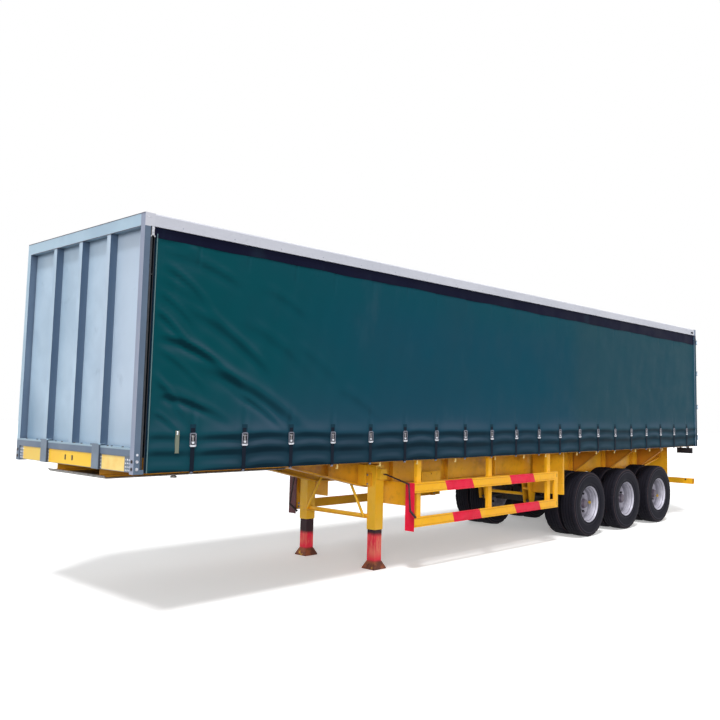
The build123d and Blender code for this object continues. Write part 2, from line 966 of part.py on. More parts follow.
def rim(centre_y, sign):
    """A drop-centre rim with its disc. Its disc faces the other wheel of the pair."""
    seat = bead_half_width + seat_gap
    lip = bead_half_width + rim_lip_thickness
    inside = bead_radius - rim_wall
    face = (dual_y - centre_y) * sign
    profile = [
        (rim_lip_radius, seat),
        (bead_radius, seat),
        (rim_well_radius, rim_well_half_width),
        (rim_well_radius, -rim_well_half_width),
        (bead_radius, -seat),
        (rim_lip_radius, -seat),
        (rim_lip_radius, -lip),
        (inside, -lip),
        (disc_outer_radius, face),
        (disc_bore_radius, face),
        (disc_bore_radius, face + disc_thickness),
        (disc_outer_radius, face + disc_thickness),
        (inside - rim_wall, disc_thickness - lip),
        (rim_well_radius - rim_wall, -rim_well_half_width),
        (rim_well_radius - rim_wall, rim_well_half_width),
        (inside, lip),
        (rim_lip_radius, lip),
    ]
    return turned([(radius, centre_y + sign * width) for radius, width in profile])


def hub():
    """Brake drum, hub flange, barrel and cap as one turned body with a blind bore."""
    bore = spindle_radius + seat_gap
    flange_y = dual_y - disc_thickness
    flange_in = flange_y - hub_flange_thickness
    drum_in = flange_in - drum_width
    pilot_y = flange_y + hub_pilot_depth
    start = axle_shoulder_y + seat_gap
    corners = [
        (bore, start),
        (hub_barrel_radius, start),
        (hub_barrel_radius, flange_in - hub_flange_thickness),
        (drum_inner_radius, flange_in - hub_flange_thickness),
        (drum_inner_radius, drum_in),
        (drum_outer_radius, drum_in),
        (drum_outer_radius, flange_in),
        (hub_flange_radius, flange_in),
        (hub_flange_radius, flange_y),
        (hub_pilot_radius, flange_y),
        (hub_pilot_radius, pilot_y),
        (hub_barrel_radius, pilot_y + hub_flange_thickness),
        (hub_barrel_radius, hub_end_y - hub_cap_depth),
        (hub_cap_radius, hub_end_y),
        (0, hub_end_y),
        (0, spindle_end_y + seat_gap),
        (bore, spindle_end_y + seat_gap),
    ]
    return turned(corners)


def wheel_set(x, side):
    """The tyres and the wheel of one side of an axle."""
    spot = Pos(x, 0, axle_z)
    tyres = [spot * tyre(y) for y in (outer_tyre_y, inner_tyre_y)]
    wheel = [spot * (rim(outer_tyre_y, 1) + rim(inner_tyre_y, -1)), spot * hub()]
    if side == "right":
        tyres = [flip(part) for part in tyres]
        wheel = [flip(part) for part in wheel]
    return tyres, wheel


def axles():
    """Three square axle beams with their spindles, spring seats, clamps and bolts."""
    solids = []
    half = axle_square / 2
    long = spring_seat_length / 2
    wide = spring_seat_width / 2
    bolt_x = long - u_bolt_radius * 2
    bolt_y = spring_width / 2 + u_bolt_radius + seat_gap
    clamp_z = spring_bottom_z + leaf_thickness * len(leaf_length_shares) + spring_rise(long) + seat_gap
    clamp_top_z = clamp_z + clamp_thickness
    for x in axle_xs:
        beam = block(x - half, x + half, -axle_shoulder_y, axle_shoulder_y, axle_z - half, axle_z + half)
        beam += rod((x, -spindle_end_y, axle_z), (x, spindle_end_y, axle_z), spindle_radius)
        for y in (spring_y, -spring_y):
            beam += block(x - long, x + long, y - wide, y + wide, axle_top_z, spring_bottom_z - seat_gap)
            for dx in (-bolt_x, bolt_x):
                for dy in (-bolt_y, bolt_y):
                    foot = (x + dx, y + dy, axle_top_z + cut_over)
                    beam += rod(foot, (x + dx, y + dy, clamp_top_z), u_bolt_radius)
            beam += block(x - long, x + long, y - wide, y + wide, clamp_z, clamp_top_z)
        solids.append(beam)
    return solids


def spring_rise(reach):
    """How far a leaf rises from its middle to a place along it."""
    return spring_camber * (reach / spring_half_length) ** 2


def leaf_springs():
    """A stack of curved leaves over each end of each axle."""
    solids = []
    count = len(leaf_length_shares)
    for x in axle_xs:
        pack = None
        for number, share in enumerate(leaf_length_shares):
            reach = spring_half_length * share
            low_z = spring_bottom_z + (count - 1 - number) * leaf_thickness
            rise = spring_rise(reach)
            leaf = [
                (x - reach, low_z + rise),
                (x + reach, low_z + rise, x, low_z),
                (x + reach, low_z + rise + leaf_thickness),
                (x - reach, low_z + rise + leaf_thickness, x, low_z + leaf_thickness),
            ]
            piece = prism("y", spring_y - spring_width / 2, spring_y + spring_width / 2, leaf)
            pack = piece if pack is None else pack + piece
        solids += both(pack)
    return solids


def spring_end_top():
    """The height of the top of a spring's tip."""
    return spring_bottom_z + len(leaf_length_shares) * leaf_thickness + spring_camber


def hanger_xs():
    """Every hanger along a beam, from the front one to the rear one."""
    middles = [(ahead + behind) / 2 for ahead, behind in zip(axle_xs, axle_xs[1:])]
    return [axle_xs[0] + end_hanger_reach] + middles + [axle_xs[-1] - end_hanger_reach]


def spring_hangers():
    """Cheek plates under the beams, with cross tubes and the end pads over the springs."""
    solids = []
    inner_face = spring_y - hanger_half_gap - hanger_plate_thickness
    top_half = hanger_width / 2
    foot_half = hanger_foot_width / 2
    pad_half = top_half * hanger_pad_share
    pad_low = spring_end_top() + seat_gap
    cap_half = top_half - hanger_plate_thickness
    cap_low = bogie_bottom_z - hanger_plate_thickness
    ends = (hanger_xs()[0], hanger_xs()[-1])
    for x in hanger_xs():
        cheek = [
            (x - top_half, bogie_bottom_z),
            (x - foot_half, hanger_bottom_z),
            (x + foot_half, hanger_bottom_z),
            (x + top_half, bogie_bottom_z),
        ]
        hanger = rod((x, -inner_face, hanger_tube_z), (x, inner_face, hanger_tube_z), hanger_tube_radius)
        for sign in (1, -1):
            for edge in (-1, 1):
                near = sign * spring_y + edge * hanger_half_gap
                far = near + edge * hanger_plate_thickness
                hanger += prism("y", min(near, far), max(near, far), cheek)
            y0 = sign * spring_y - hanger_half_gap
            y1 = sign * spring_y + hanger_half_gap
            hanger += block(x - cap_half, x + cap_half, y0, y1, cap_low, bogie_bottom_z)
            if x in ends:
                hanger += block(x - pad_half, x + pad_half, y0, y1, pad_low, pad_low + hanger_pad_thickness)
        solids.append(hanger)
    return solids


def equalisers():
    """Rocking beams that share the load between the springs of neighbouring axles."""
    solids = []
    low = spring_end_top() + seat_gap
    for x in hanger_xs()[1:-1]:
        half = equaliser_half_length
        rocker = [
            (x - half, low),
            (x + half, low),
            (x + half, low + equaliser_tip_height),
            (x + equaliser_crown, low + equaliser_height),
            (x - equaliser_crown, low + equaliser_height),
            (x - half, low + equaliser_tip_height),
        ]
        arm = prism("y", spring_y - equaliser_width / 2, spring_y + equaliser_width / 2, rocker)
        pin_z = low + equaliser_height / 2
        arm += rod(
            (x, spring_y - hanger_half_gap, pin_z), (x, spring_y + hanger_half_gap, pin_z),
            equaliser_pin_radius)
        solids += both(arm)
    return solids


def radius_rods():
    """Rods that hold each axle back from the hanger ahead of it."""
    solids = []
    for hanger_x, axle_x in zip(hanger_xs(), axle_xs):
        face_x = axle_x + axle_square / 2
        arm = rod((face_x, spring_y, rod_z), (hanger_x, spring_y, rod_z), rod_radius)
        for half, radius in ((rod_eye_width / 2, rod_eye_radius), (hanger_half_gap, rod_pin_radius)):
            arm += rod((hanger_x, spring_y - half, rod_z), (hanger_x, spring_y + half, rod_z), radius)
        solids += both(arm)
    return solids


def brake_chambers():
    """Brake cylinders on brackets behind each axle, with the cam shafts to the drums."""
    solids = []
    half = chamber_bracket_width / 2
    for x in axle_xs:
        back = x - axle_square / 2
        plate_back = back - chamber_bracket_thickness
        unit = block(
            plate_back, back,
            chamber_y - half, chamber_y + half,
            axle_z - axle_square / 2, chamber_z + chamber_bracket_top)
        middle = plate_back - chamber_front_length
        band = chamber_band_length / 2
        stages = [
            (middle + band, plate_back, chamber_radius),
            (middle - band, middle + band, chamber_band_radius),
            (middle - chamber_rear_length, middle - band, chamber_rear_radius),
        ]
        for x0, x1, radius in stages:
            unit += rod((x0, chamber_y, chamber_z), (x1, chamber_y, chamber_z), radius)
        shaft_x = plate_back - cam_shaft_radius / 2
        unit += rod((shaft_x, chamber_y, axle_z), (shaft_x, axle_shoulder_y, axle_z), cam_shaft_radius)
        solids += both(unit)
    return solids


def outrigger_gussets():
    """Deep tapered brackets outside the beams, above the hangers."""
    solids = []
    low = bogie_bottom_z + beam_flange_thickness
    tip_z = member_low_z - gusset_tip_height
    web = [
        (beam_web_outer_y, low),
        (beam_outer_y, low),
        (gusset_tip_y, tip_z),
        (gusset_tip_y, member_low_z),
        (beam_web_outer_y, member_low_z),
    ]
    flange = [
        (beam_outer_y, low),
        (gusset_tip_y, tip_z),
        (gusset_tip_y, tip_z + gusset_thickness),
        (beam_outer_y, low + gusset_thickness),
    ]
    for x in hanger_xs()[1:]:
        gusset = prism("x", x, x + gusset_thickness, web)
        gusset += prism("x", x - gusset_flange_width / 2, x + gusset_flange_width / 2, flange)
        solids += both(gusset)
    return solids


def air_tanks():
    """Two air reservoirs under the cross members, on saddles."""
    solids = []
    z = member_low_z - tank_saddle_height - tank_radius
    reach = tank_half_length - tank_end_bevel
    for number, share in enumerate(tank_shares):
        x = guard_rear_x + share * guard_length
        tank = rod((x - tank_half_length, tank_y, z), (x + tank_half_length, tank_y, z), tank_radius)
        tank = chamfer(tank.edges().filter_by(GeomType.CIRCLE), tank_end_bevel)
        for member_x in member_xs():
            if x - reach <= member_x <= x + reach - member_width:
                tank += block(
                    member_x, member_x + member_width,
                    tank_y - tank_saddle_width / 2, tank_y + tank_saddle_width / 2,
                    z, member_low_z)
        solids.append(tank if number == 0 else flip(tank))
    return solids


def landing_legs():
    """The two outer leg tubes with their mounting plates to the beams."""
    half = leg_square / 2
    bore = half - leg_wall
    roof_z = leg_top_z - leg_wall
    tube = block(leg_x - half, leg_x + half, leg_y - half, leg_y + half, leg_bottom_z, leg_top_z)
    tube -= block(leg_x - bore, leg_x + bore, leg_y - bore, leg_y + bore, leg_bottom_z - cut_over, roof_z)
    long = leg_mount_length / 2
    low = bottom_at(leg_x + long) + beam_flange_thickness
    mount_y = leg_y - half - leg_mount_thickness
    tube += block(leg_x - long, leg_x + long, mount_y, leg_y - half, low, leg_top_z)
    for x in (leg_x - long, leg_x + long - leg_mount_thickness):
        tube += block(x, x + leg_mount_thickness, beam_web_outer_y, leg_y - half, low, leg_top_z)
    tube += block(
        leg_x - leg_gearbox_width / 2, leg_x + leg_gearbox_width / 2,
        leg_y + half, leg_y + half + leg_gearbox_depth,
        leg_gearbox_z - leg_gearbox_height / 2, leg_gearbox_z + leg_gearbox_height / 2)
    return both(tube)


def bent_rod(points, radius):
    """A round bar through several points, with a ball at each bend."""
    bar = None
    for start, end in zip(points, points[1:]):
        run = rod(start, end, radius)
        bar = run if bar is None else bar + run + Pos(*start) * Sphere(radius)
    return bar


def leg_cranks():
    """The winding cranks in their stowed places, each on its leg's gear case."""
    out = leg_y + leg_square / 2 + leg_gearbox_depth
    z = leg_gearbox_z
    tip_x = leg_x - crank_shaft_back
    tip_y = side_y - crank_tip_inset
    arm_x = tip_x - crank_arm_back
    arm_z = z - crank_shaft_drop - crank_arm_drop
    near = [
        (leg_x, out, z),
        (leg_x, out + crank_stub, z),
        (tip_x, tip_y, z - crank_shaft_drop),
        (arm_x, tip_y, arm_z),
    ]
    grip_end = (arm_x, tip_y + crank_grip_reach, arm_z - crank_grip_drop)
    left = bent_rod(near, crank_radius) + bent_rod([near[-1], grip_end], crank_grip_radius)
    bend_z = z - far_crank_drop
    far_x = leg_x - far_crank_arm_back
    far_y = -out - far_crank_arm_reach
    far_z = bend_z - far_crank_arm_drop
    far = [
        (leg_x, -out, z),
        (leg_x, -out - crank_stub, z),
        (leg_x, -out - far_crank_reach, bend_z),
        (far_x, far_y, far_z),
    ]
    far_end = (far_x - far_crank_grip_back, far_y + far_crank_grip_return, far_z - far_crank_grip_drop)
    right = bent_rod(far, crank_radius) + bent_rod([far[-1], far_end], crank_grip_radius)
    return [left, right]


def landing_feet():
    """The inner legs with their flared shoes on the ground."""
    half = leg_square / 2 - leg_wall - seat_gap
    inner_top_z = leg_bottom_z + leg_square
    inner = block(leg_x - half, leg_x + half, leg_y - half, leg_y + half, shoe_plate, inner_top_z)
    base = shoe_half_length
    neck = shoe_half_length * shoe_neck_share
    bottom = Plane(origin=(leg_x, leg_y, 0)) * Rectangle(base * 2, base * 2)
    rim_face = Plane(origin=(leg_x, leg_y, shoe_plate)) * Rectangle(base * 2, base * 2)
    top = Plane(origin=(leg_x, leg_y, shoe_top_z)) * Rectangle(neck * 2, neck * 2)
    shoe = loft([rim_face.face(), top.face()]) + extrude(bottom, amount=shoe_plate)
    return both(inner + shoe)


def leg_braces():
    """The angle bar between the legs and its two diagonals to the frame."""
    face = leg_x + leg_square / 2
    angle = [
        (face, brace_z - brace_size / 2),
        (face + brace_size, brace_z - brace_size / 2),
        (face + brace_size, brace_z - brace_size / 2 + brace_wall),
        (face + brace_wall, brace_z - brace_size / 2 + brace_wall),
        (face + brace_wall, brace_z + brace_size / 2),
        (face, brace_z + brace_size / 2),
    ]
    bar = prism("y", -brace_reach, brace_reach, angle)
    x = face + brace_size / 2
    foot_z = brace_z - brace_size / 2 + brace_wall / 2
    for sign in (1, -1):
        foot = (x, sign * (brace_reach - brace_size), foot_z)
        bar += rod(foot, (x, sign * diagonal_top_y, diagonal_top_z), diagonal_radius)
    half = diagonal_top_y + brace_size
    low = diagonal_top_z - brace_size / 2
    bar += block(face, face + brace_size, -half, half, low, low + brace_size)
    return [bar]


def side_guard():
    """The left side guard: two grooved rails on upright posts, with end frames."""
    back = guard_back_y
    guard = None
    for low in (guard_top_z - guard_rail_height, guard_bottom_z):
        high = low + guard_rail_height
        points = [(back, low), (guard_face_y, low)]
        for z in (low + guard_groove_inset, high - guard_groove_inset - guard_groove_width):
            points += [
                (guard_face_y, z),
                (guard_face_y - guard_groove_depth, z),
                (guard_face_y - guard_groove_depth, z + guard_groove_width),
                (guard_face_y, z + guard_groove_width),
            ]
        points += [(guard_face_y, high), (back, high)]
        rail = prism("x", guard_rear_x, guard_front_x - guard_plate_thickness, points)
        guard = rail if guard is None else guard + rail
    for x in guard_post_xs:
        guard += block(
            x - guard_post_width / 2, x + guard_post_width / 2,
            guard_post_inner_y, back,
            guard_bottom_z, rail_bottom_z)
    guard += block(
        guard_rear_x, guard_rear_x + guard_upright_width,
        back, guard_face_y,
        guard_bottom_z, guard_top_z)
    guard += block(
        guard_front_x - guard_plate_thickness, guard_front_x,
        guard_face_y - guard_plate_width, guard_face_y,
        guard_bottom_z - guard_plate_drop, guard_top_z)
    return guard


def mud_shields():
    """Upright plates in front of the first wheels, with a turned outer edge."""
    front = mud_shield_x + mud_shield_thickness
    plate = block(mud_shield_x, front, beam_outer_y, mud_shield_outer_y, mud_shield_bottom_z, rail_bottom_z)
    plate += block(
        front - mud_shield_flange, front,
        mud_shield_outer_y - mud_shield_thickness, mud_shield_outer_y,
        mud_shield_bottom_z, rail_bottom_z)
    return both(plate)


def rear_bumper():
    """The under-run bar on its apron plate below the rear frame."""
    x0 = bumper_back_x
    x1 = bumper_back_x + bumper_depth
    z0 = bumper_bottom_z
    z1 = bumper_bottom_z + bumper_height
    bar = block(x0, x1, -bumper_half_width, bumper_half_width, z0, z1)
    wall = bumper_wall
    bar -= block(
        x0 + wall, x1 - wall,
        -bumper_half_width - cut_over, bumper_half_width + cut_over,
        z0 + wall, z1 - wall)
    bar += block(
        x1, x1 + apron_thickness,
        -apron_half_width, apron_half_width,
        apron_bottom_z, curtain_bottom_z)
    return [bar]


def rear_lamps():
    """Two lamp housings hung below the rear sill."""
    half = lamp_width / 2
    low = lamp_top_z - lamp_height
    lamp = block(frame_back_x, frame_back_x + lamp_depth, lamp_y - half, lamp_y + half, low, lamp_top_z)
    lamp = chamfer(lamp.faces().sort_by(Axis.X)[0].edges(), lamp_bevel)
    tab_x = frame_back_x + lamp_depth - lamp_tab_thickness
    for y in (lamp_y - half / 2, lamp_y + half / 2):
        lamp += block(
            tab_x, tab_x + lamp_tab_thickness,
            y - lamp_tab_width / 2, y + lamp_tab_width / 2,
            lamp_top_z, curtain_bottom_z)
    return both(lamp)


def guard_brackets():
    """Deep plates that carry the front guard posts from the main beams."""
    x = guard_post_xs[0]
    plate = block(
        x - guard_bracket_thickness, x,
        beam_outer_y, guard_post_inner_y,
        guard_bracket_bottom_z, guard_bracket_top_z)
    return both(plate)


def write(name, solids):
    """Write one node, alone or as a group of solids that don't touch."""
    shape = solids[0] if len(solids) == 1 else Compound(children=list(solids))
    export_step(shape, f"parts/{name}.step")


def build_all():
    os.makedirs("parts", exist_ok=True)
    write("main_beams", main_beams())
    write("cross_members", cross_members())
    write("side_rails", side_rails())
    write("floor", floor())
    write("coupler_plate", coupler_plate())
    write("kingpin", kingpin())
    write("front_beam", front_beam())
    write("front_brackets", front_brackets())
    write("front_frame", front_frame())
    write("front_wall", front_wall())
    write("cant_rails", cant_rails())
    write("roof", roof())
    write("roof_bows", roof_bows())
    write("side_posts", side_posts())
    write("curtain_poles", curtain_poles())
    write("valances", valances())
    write("curtain_left", [curtain()])
    write("curtain_right", [flip(curtain())])
    write("buckles_left", buckles())
    write("buckles_right", [flip(part) for part in buckles()])
    write("rear_frame", rear_frame())
    write("door_left", [door()])
    write("door_right", [flip(door())])
    write("door_locks_left", door_locks())
    write("door_locks_right", [flip(part) for part in door_locks()])
    write("axles", axles())
    write("leaf_springs", leaf_springs())
    write("spring_hangers", spring_hangers())
    write("equalisers", equalisers())
    write("radius_rods", radius_rods())
    write("brake_chambers", brake_chambers())
    write("outrigger_gussets", outrigger_gussets())
    write("air_tanks", air_tanks())
    write("leg_cranks", leg_cranks())
    write("guard_brackets", guard_brackets())
    write("rear_lamps", rear_lamps())
    write("landing_legs", landing_legs())
    write("landing_feet", landing_feet())
    write("leg_braces", leg_braces())
    write("side_guard_left", [side_guard()])
    write("side_guard_right", [flip(side_guard())])
    write("mud_shields", mud_shields())
    write("rear_bumper", rear_bumper())
    for number, x in enumerate(axle_xs, start=1):
        for side in ("left", "right"):
            tyres, wheel = wheel_set(x, side)
            write(f"tyres_{number}_{side}", tyres)
            write(f"wheel_{number}_{side}", wheel)


build_all()
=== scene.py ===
import bpy
import math
import random
import numpy
from mathutils import Matrix, Vector


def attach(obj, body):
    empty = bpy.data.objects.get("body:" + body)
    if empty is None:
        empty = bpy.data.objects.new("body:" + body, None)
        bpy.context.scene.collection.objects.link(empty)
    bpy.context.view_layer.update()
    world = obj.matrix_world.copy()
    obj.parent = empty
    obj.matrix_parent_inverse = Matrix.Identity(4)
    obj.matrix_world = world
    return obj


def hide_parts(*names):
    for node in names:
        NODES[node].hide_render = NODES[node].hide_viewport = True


# A three-axle curtain-sided semi trailer, dressed for the camera.
# Everything is in metres: +X to the front, +Y to the left side, +Z up, ground at zero.
# Tables that hold only half of something are mirrored, and y in them points outwards.

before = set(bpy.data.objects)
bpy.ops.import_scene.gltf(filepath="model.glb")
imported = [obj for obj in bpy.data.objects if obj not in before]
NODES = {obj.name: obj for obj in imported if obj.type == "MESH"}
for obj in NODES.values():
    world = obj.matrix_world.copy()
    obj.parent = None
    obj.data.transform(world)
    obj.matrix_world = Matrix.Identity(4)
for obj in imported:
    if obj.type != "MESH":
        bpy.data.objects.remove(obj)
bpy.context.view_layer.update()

# Camera, solved from the photograph
CAMERA_PLACE = Vector((10.10, 7.845, 2.011))
CAMERA_YAW = math.radians(-137.536)
CAMERA_PITCH = math.radians(5.186)
CAMERA_ROLL = math.radians(1.115)
IMAGE_SIZE = 720
FOCAL_PIXELS = 799.88
CENTRE_PIXEL = (397.45, 337.12)
SENSOR_WIDTH = 36

# Light and ground
SKY_HIGH, SKY_LEVEL, SKY_LOW = 0.55, 0.38, 0.30
LAMPS = [
    ("key", 2.0, Vector((-0.40, -0.30, -0.87)), math.radians(9)),
    ("fill", 1.9, Vector((-0.70, -0.69, -0.17)), math.radians(30)),
]
FLOOR_GLOW = 0.3
FLOOR_SIZE = 160

# Wheels
AXLE_XS = (-1.928, -3.238, -4.548)
AXLE_Z = 0.525
OUTER_TYRE_Y, INNER_TYRE_Y, DUAL_Y = 1.079, 0.761, 0.92
SIDES = ((1, "left"), (-1, "right"))

# Material grain, in waves per metre, and the samples of a corner's shade
BLOTCH_SCALE, MOTTLE_SCALE, GRAIN_SCALE = 1.1, 14, 170
CORNER_SAMPLES = 6

# Colours as they are seen on a screen, from 0 to 255
YELLOW, YELLOW_SHADE, YELLOW_DIRT_AND_SHADE = (255, 190, 34), (248, 174, 28), (150, 84, 26)
RED, RED_SHADE = (238, 12, 64), (222, 14, 54)


def colour(*screen):
    """A screen colour for a shader."""
    parts = [value / 255 for value in screen]
    return (*(part / 12.92 if part <= 0.04045 else ((part + 0.055) / 1.055) ** 2.4 for part in parts), 1)


class Nodes:
    """A tree of shader nodes, with short ways to add and join them."""

    def __init__(self, tree):
        self.tree = tree

    def add(self, kind, **inputs):
        """A new node; each named input is a value or another node's output."""
        node = self.tree.nodes.new(kind)
        for key, value in inputs.items():
            self.put(node.inputs[key.replace("_", " ")], value)
        return node

    def put(self, socket, value):
        """Sets a socket to a value, or joins it to another node's output."""
        if isinstance(value, bpy.types.NodeSocket):
            self.tree.links.new(value, socket)
        else:
            socket.default_value = value

    def math(self, operation, first, second=0.0):
        node = self.tree.nodes.new("ShaderNodeMath")
        node.operation = operation
        self.put(node.inputs[0], first)
        self.put(node.inputs[1], second)
        return node.outputs[0]

    def times(self, first, second):
        return self.math("MULTIPLY", first, second)

    def split(self, vector):
        """The X, Y and Z of a vector as three outputs."""
        return tuple(self.add("ShaderNodeSeparateXYZ", Vector=vector).outputs)

    def shown(self):
        """1 for the rays of the lens, of metal and of glass, which see plain white, 0 for light's own."""
        rays = self.add("ShaderNodeLightPath").outputs
        either = self.math("MAXIMUM", rays["Is Camera Ray"], rays["Is Glossy Ray"])
        return self.math("MAXIMUM", either, rays["Is Transmission Ray"])


class Paint(Nodes):
    """A material under construction: coats of colour over a base; masks run from 0 to 1."""

    def __init__(self, name, base, rough, metal=0.0, specular=0.5):
        self.material = bpy.data.materials.new(name)
        self.material.use_nodes = True
        super().__init__(self.material.node_tree)
        self.shader = self.tree.nodes["Principled BSDF"].inputs
        for key, value in (("Roughness", rough), ("Metallic", metal), ("Specular IOR Level", specular)):
            self.put(self.shader[key], value)
        self.place = self.add("ShaderNodeTexCoord").outputs["Object"]
        self.x, self.y, self.z = self.split(self.place)
        self.base = base

    def mix(self, share, first, second):
        """Two colours mixed, each a screen colour or another node's output."""
        node = self.tree.nodes.new("ShaderNodeMix")
        node.data_type = "RGBA"
        for index, value in ((0, share), (6, first), (7, second)):
            self.put(node.inputs[index], colour(*value) if isinstance(value, tuple) else value)
        return node.outputs[2]

    def coat(self, mask, tint, share=1):
        """Lays a colour over the base through a mask."""
        self.base = self.mix(mask if share == 1 else self.times(mask, share), self.base, tint)

    def ramp(self, value, low, high, start=0.0, end=1.0):
        """value from low to high becomes start to end, smoothly and clamped."""
        node = self.add("ShaderNodeMapRange", Value=value, From_Min=low, From_Max=high, To_Min=start, To_Max=end)
        node.interpolation_type = "SMOOTHSTEP"
        return node.outputs[0]

    def noise(self, scale, detail=4.0, stretch=None, seed=0.0):
        """Noise over the object's own coordinates, stretched along chosen axes."""
        place = self.place
        if stretch or seed:
            moved = self.add("ShaderNodeMapping", Vector=place, Scale=stretch or (1, 1, 1), Location=(seed,) * 3)
            place = moved.outputs[0]
        node = self.add("ShaderNodeTexNoise", Vector=place, Scale=scale, Detail=detail, Roughness=0.6)
        return node.outputs["Fac"]

    def cloud(self, scale, low=0.35, high=0.7, start=0.0, end=1.0, **kind):
        """Noise drawn apart into soft patches."""
        return self.ramp(self.noise(scale, **kind), low, high, start, end)

    def band(self, value, low, high, soft):
        """1 between low and high, 0 outside, with soft edges."""
        rise = self.ramp(value, low - soft, low + soft)
        return self.times(rise, self.ramp(value, high - soft, high + soft, 1.0, 0.0))

    def facing(self, axis):
        """1 where the surface faces either way along an axis, 0 where it faces another."""
        normal = self.split(self.add("ShaderNodeNewGeometry").outputs["True Normal"])
        return self.ramp(self.math("ABSOLUTE", normal[axis]), 0.3, 0.6)

    def slanted(self, spans, soft=0.003):
        """1 inside any of the spans (top start, top end, bottom start, bottom end, top, bottom)."""
        total = 0.0
        for top_start, top_end, bottom_start, bottom_end, high, low in spans:
            share = self.math("DIVIDE", self.math("SUBTRACT", self.z, low), high - low)
            start = self.math("ADD", self.times(share, top_start - bottom_start), bottom_start)
            end = self.math("ADD", self.times(share, top_end - bottom_end), bottom_end)
            ahead = self.ramp(self.math("SUBTRACT", start, self.x), -soft, soft)
            behind = self.ramp(self.math("SUBTRACT", self.x, end), -soft, soft)
            inside = self.times(self.times(ahead, behind), self.band(self.z, low, high, soft))
            total = self.math("MAXIMUM", total, inside)
        return total

    def corner_dirt_and_shade(self, reach, share, dirt_and_shade):
        """Dirt and painted shade in tight corners, found by ambient occlusion, as far from them as it reaches."""
        node = self.add("ShaderNodeAmbientOcclusion", Distance=reach)
        node.samples = CORNER_SAMPLES
        self.coat(self.ramp(node.outputs["AO"], 0.35, 0.95, 1.0, 0.0), dirt_and_shade, share)

    def age(self, shade, dirt_and_shade, grime_and_shade=0.5, reach=0.12):
        """Cloudy shade, fine mottling, and dirt with painted shade in the corners."""
        self.coat(self.cloud(BLOTCH_SCALE), shade, 0.6)
        self.coat(self.cloud(MOTTLE_SCALE, 0.52, 0.72, seed=3.1), dirt_and_shade, grime_and_shade * 0.35)
        self.corner_dirt_and_shade(reach, grime_and_shade, dirt_and_shade)

    def bump(self, height, depth, strength, normal=None):
        node = self.add("ShaderNodeBump", Height=height, Distance=depth, Strength=strength)
        if normal is not None:
            self.put(node.inputs["Normal"], normal)
        return node.outputs[0]

    def finish(self, rough=None, normal=None):
        for key, value in (("Base Color", self.base), ("Roughness", rough), ("Normal", normal)):
            if value is not None:
                self.put(self.shader[key], value)
        return self.material

    def spray(self, low, high, peel=0.5):
        """The finished paint, with orange peel and a roughness that wanders from low to high."""
        grain = self.bump(self.noise(GRAIN_SCALE, detail=2.0), 0.0004, peel)
        return self.finish(self.cloud(MOTTLE_SCALE, 0.3, 0.75, low, high, seed=7.7), grain)


def painted(name, main, shade, dirt_and_shade, rough=0.42, grime_and_shade=0.5, reach=0.12, metal=0.0):
    """Sprayed paint with soft fading, and dirt with painted shade in its corners."""
    paint = Paint(name, main, rough, metal)
    paint.age(shade, dirt_and_shade, grime_and_shade, reach)
    return paint.spray(rough - 0.1, rough + 0.18)


def chassis_paint(name):
    """Chassis yellow with brown stains that grow stronger towards the deck, and a painted shadow that darkens it
    under the deck.
    """
    paint = Paint(name, YELLOW, 0.42)
    paint.age(YELLOW_SHADE, YELLOW_DIRT_AND_SHADE, 0.55)
    stain = paint.cloud(2.3, 0.48, 0.68, detail=7.0, seed=8.0)
    paint.coat(paint.times(stain, paint.ramp(paint.z, 1.0, 1.38, 0.12, 0.75)), (158, 88, 22))
    # Painted shadow of the deck: darker towards the top of the chassis.
    paint.coat(paint.ramp(paint.z, 1.22, 1.40, 0.0, 0.35), (172, 100, 20))
    return paint.spray(0.32, 0.6)


def bare_metal(name, main, dark, rough):
    """Bare or plated steel with fine grain and dull spots."""
    paint = Paint(name, main, rough, 0.85)
    grain = paint.noise(MOTTLE_SCALE * 3, detail=6.0)
    paint.coat(paint.ramp(grain, 0.4, 0.75), dark)
    # Dirt and painted shade in the corners, in the darker tint.
    paint.corner_dirt_and_shade(0.05, 0.4, dark)
    return paint.finish(paint.ramp(grain, 0.3, 0.8, rough - 0.08, rough + 0.2), paint.bump(grain, 0.0005, 0.4))


# Rings on a tyre's side: inner and outer radius, colour, share
TYRE_RINGS = (
    (0.4925, 0.4985, (104, 84, 84), 0.5), (0.452, 0.462, (66, 60, 70), 0.6), (0.326, 0.333, (64, 60, 68), 0.5),
)


def rubber(name):
    """Tyre rubber, greyed by dust on its sides, with painted shade in its grooves."""
    paint = Paint(name, (15, 15, 25), 0.72, specular=0.14)
    paint.coat(paint.cloud(MOTTLE_SCALE * 0.5, 0.42, 0.75, detail=6.0), (38, 34, 43), 0.25)
    pitch = AXLE_XS[0] - AXLE_XS[1]
    turns = paint.math("DIVIDE", paint.math("SUBTRACT", paint.x, AXLE_XS[2] - pitch / 2), pitch)
    along = paint.times(paint.math("SUBTRACT", paint.math("FRACT", turns), 0.5), pitch)
    rise = paint.math("SUBTRACT", paint.z, AXLE_Z)
    radius = paint.math("SQRT", paint.math("ADD", paint.times(along, along), paint.times(rise, rise)))
    for low, high, tint, share in TYRE_RINGS:
        paint.coat(paint.band(radius, low, high, 0.002), tint, share)
    paint.coat(paint.ramp(radius, 0.503, 0.512, 0.0, 0.45), (24, 22, 30))
    # Painted shade in the grooves.
    paint.corner_dirt_and_shade(0.02, 0.5, (16, 16, 20))
    return paint.finish(None, paint.bump(paint.noise(GRAIN_SCALE * 2), 0.0005, 0.5))


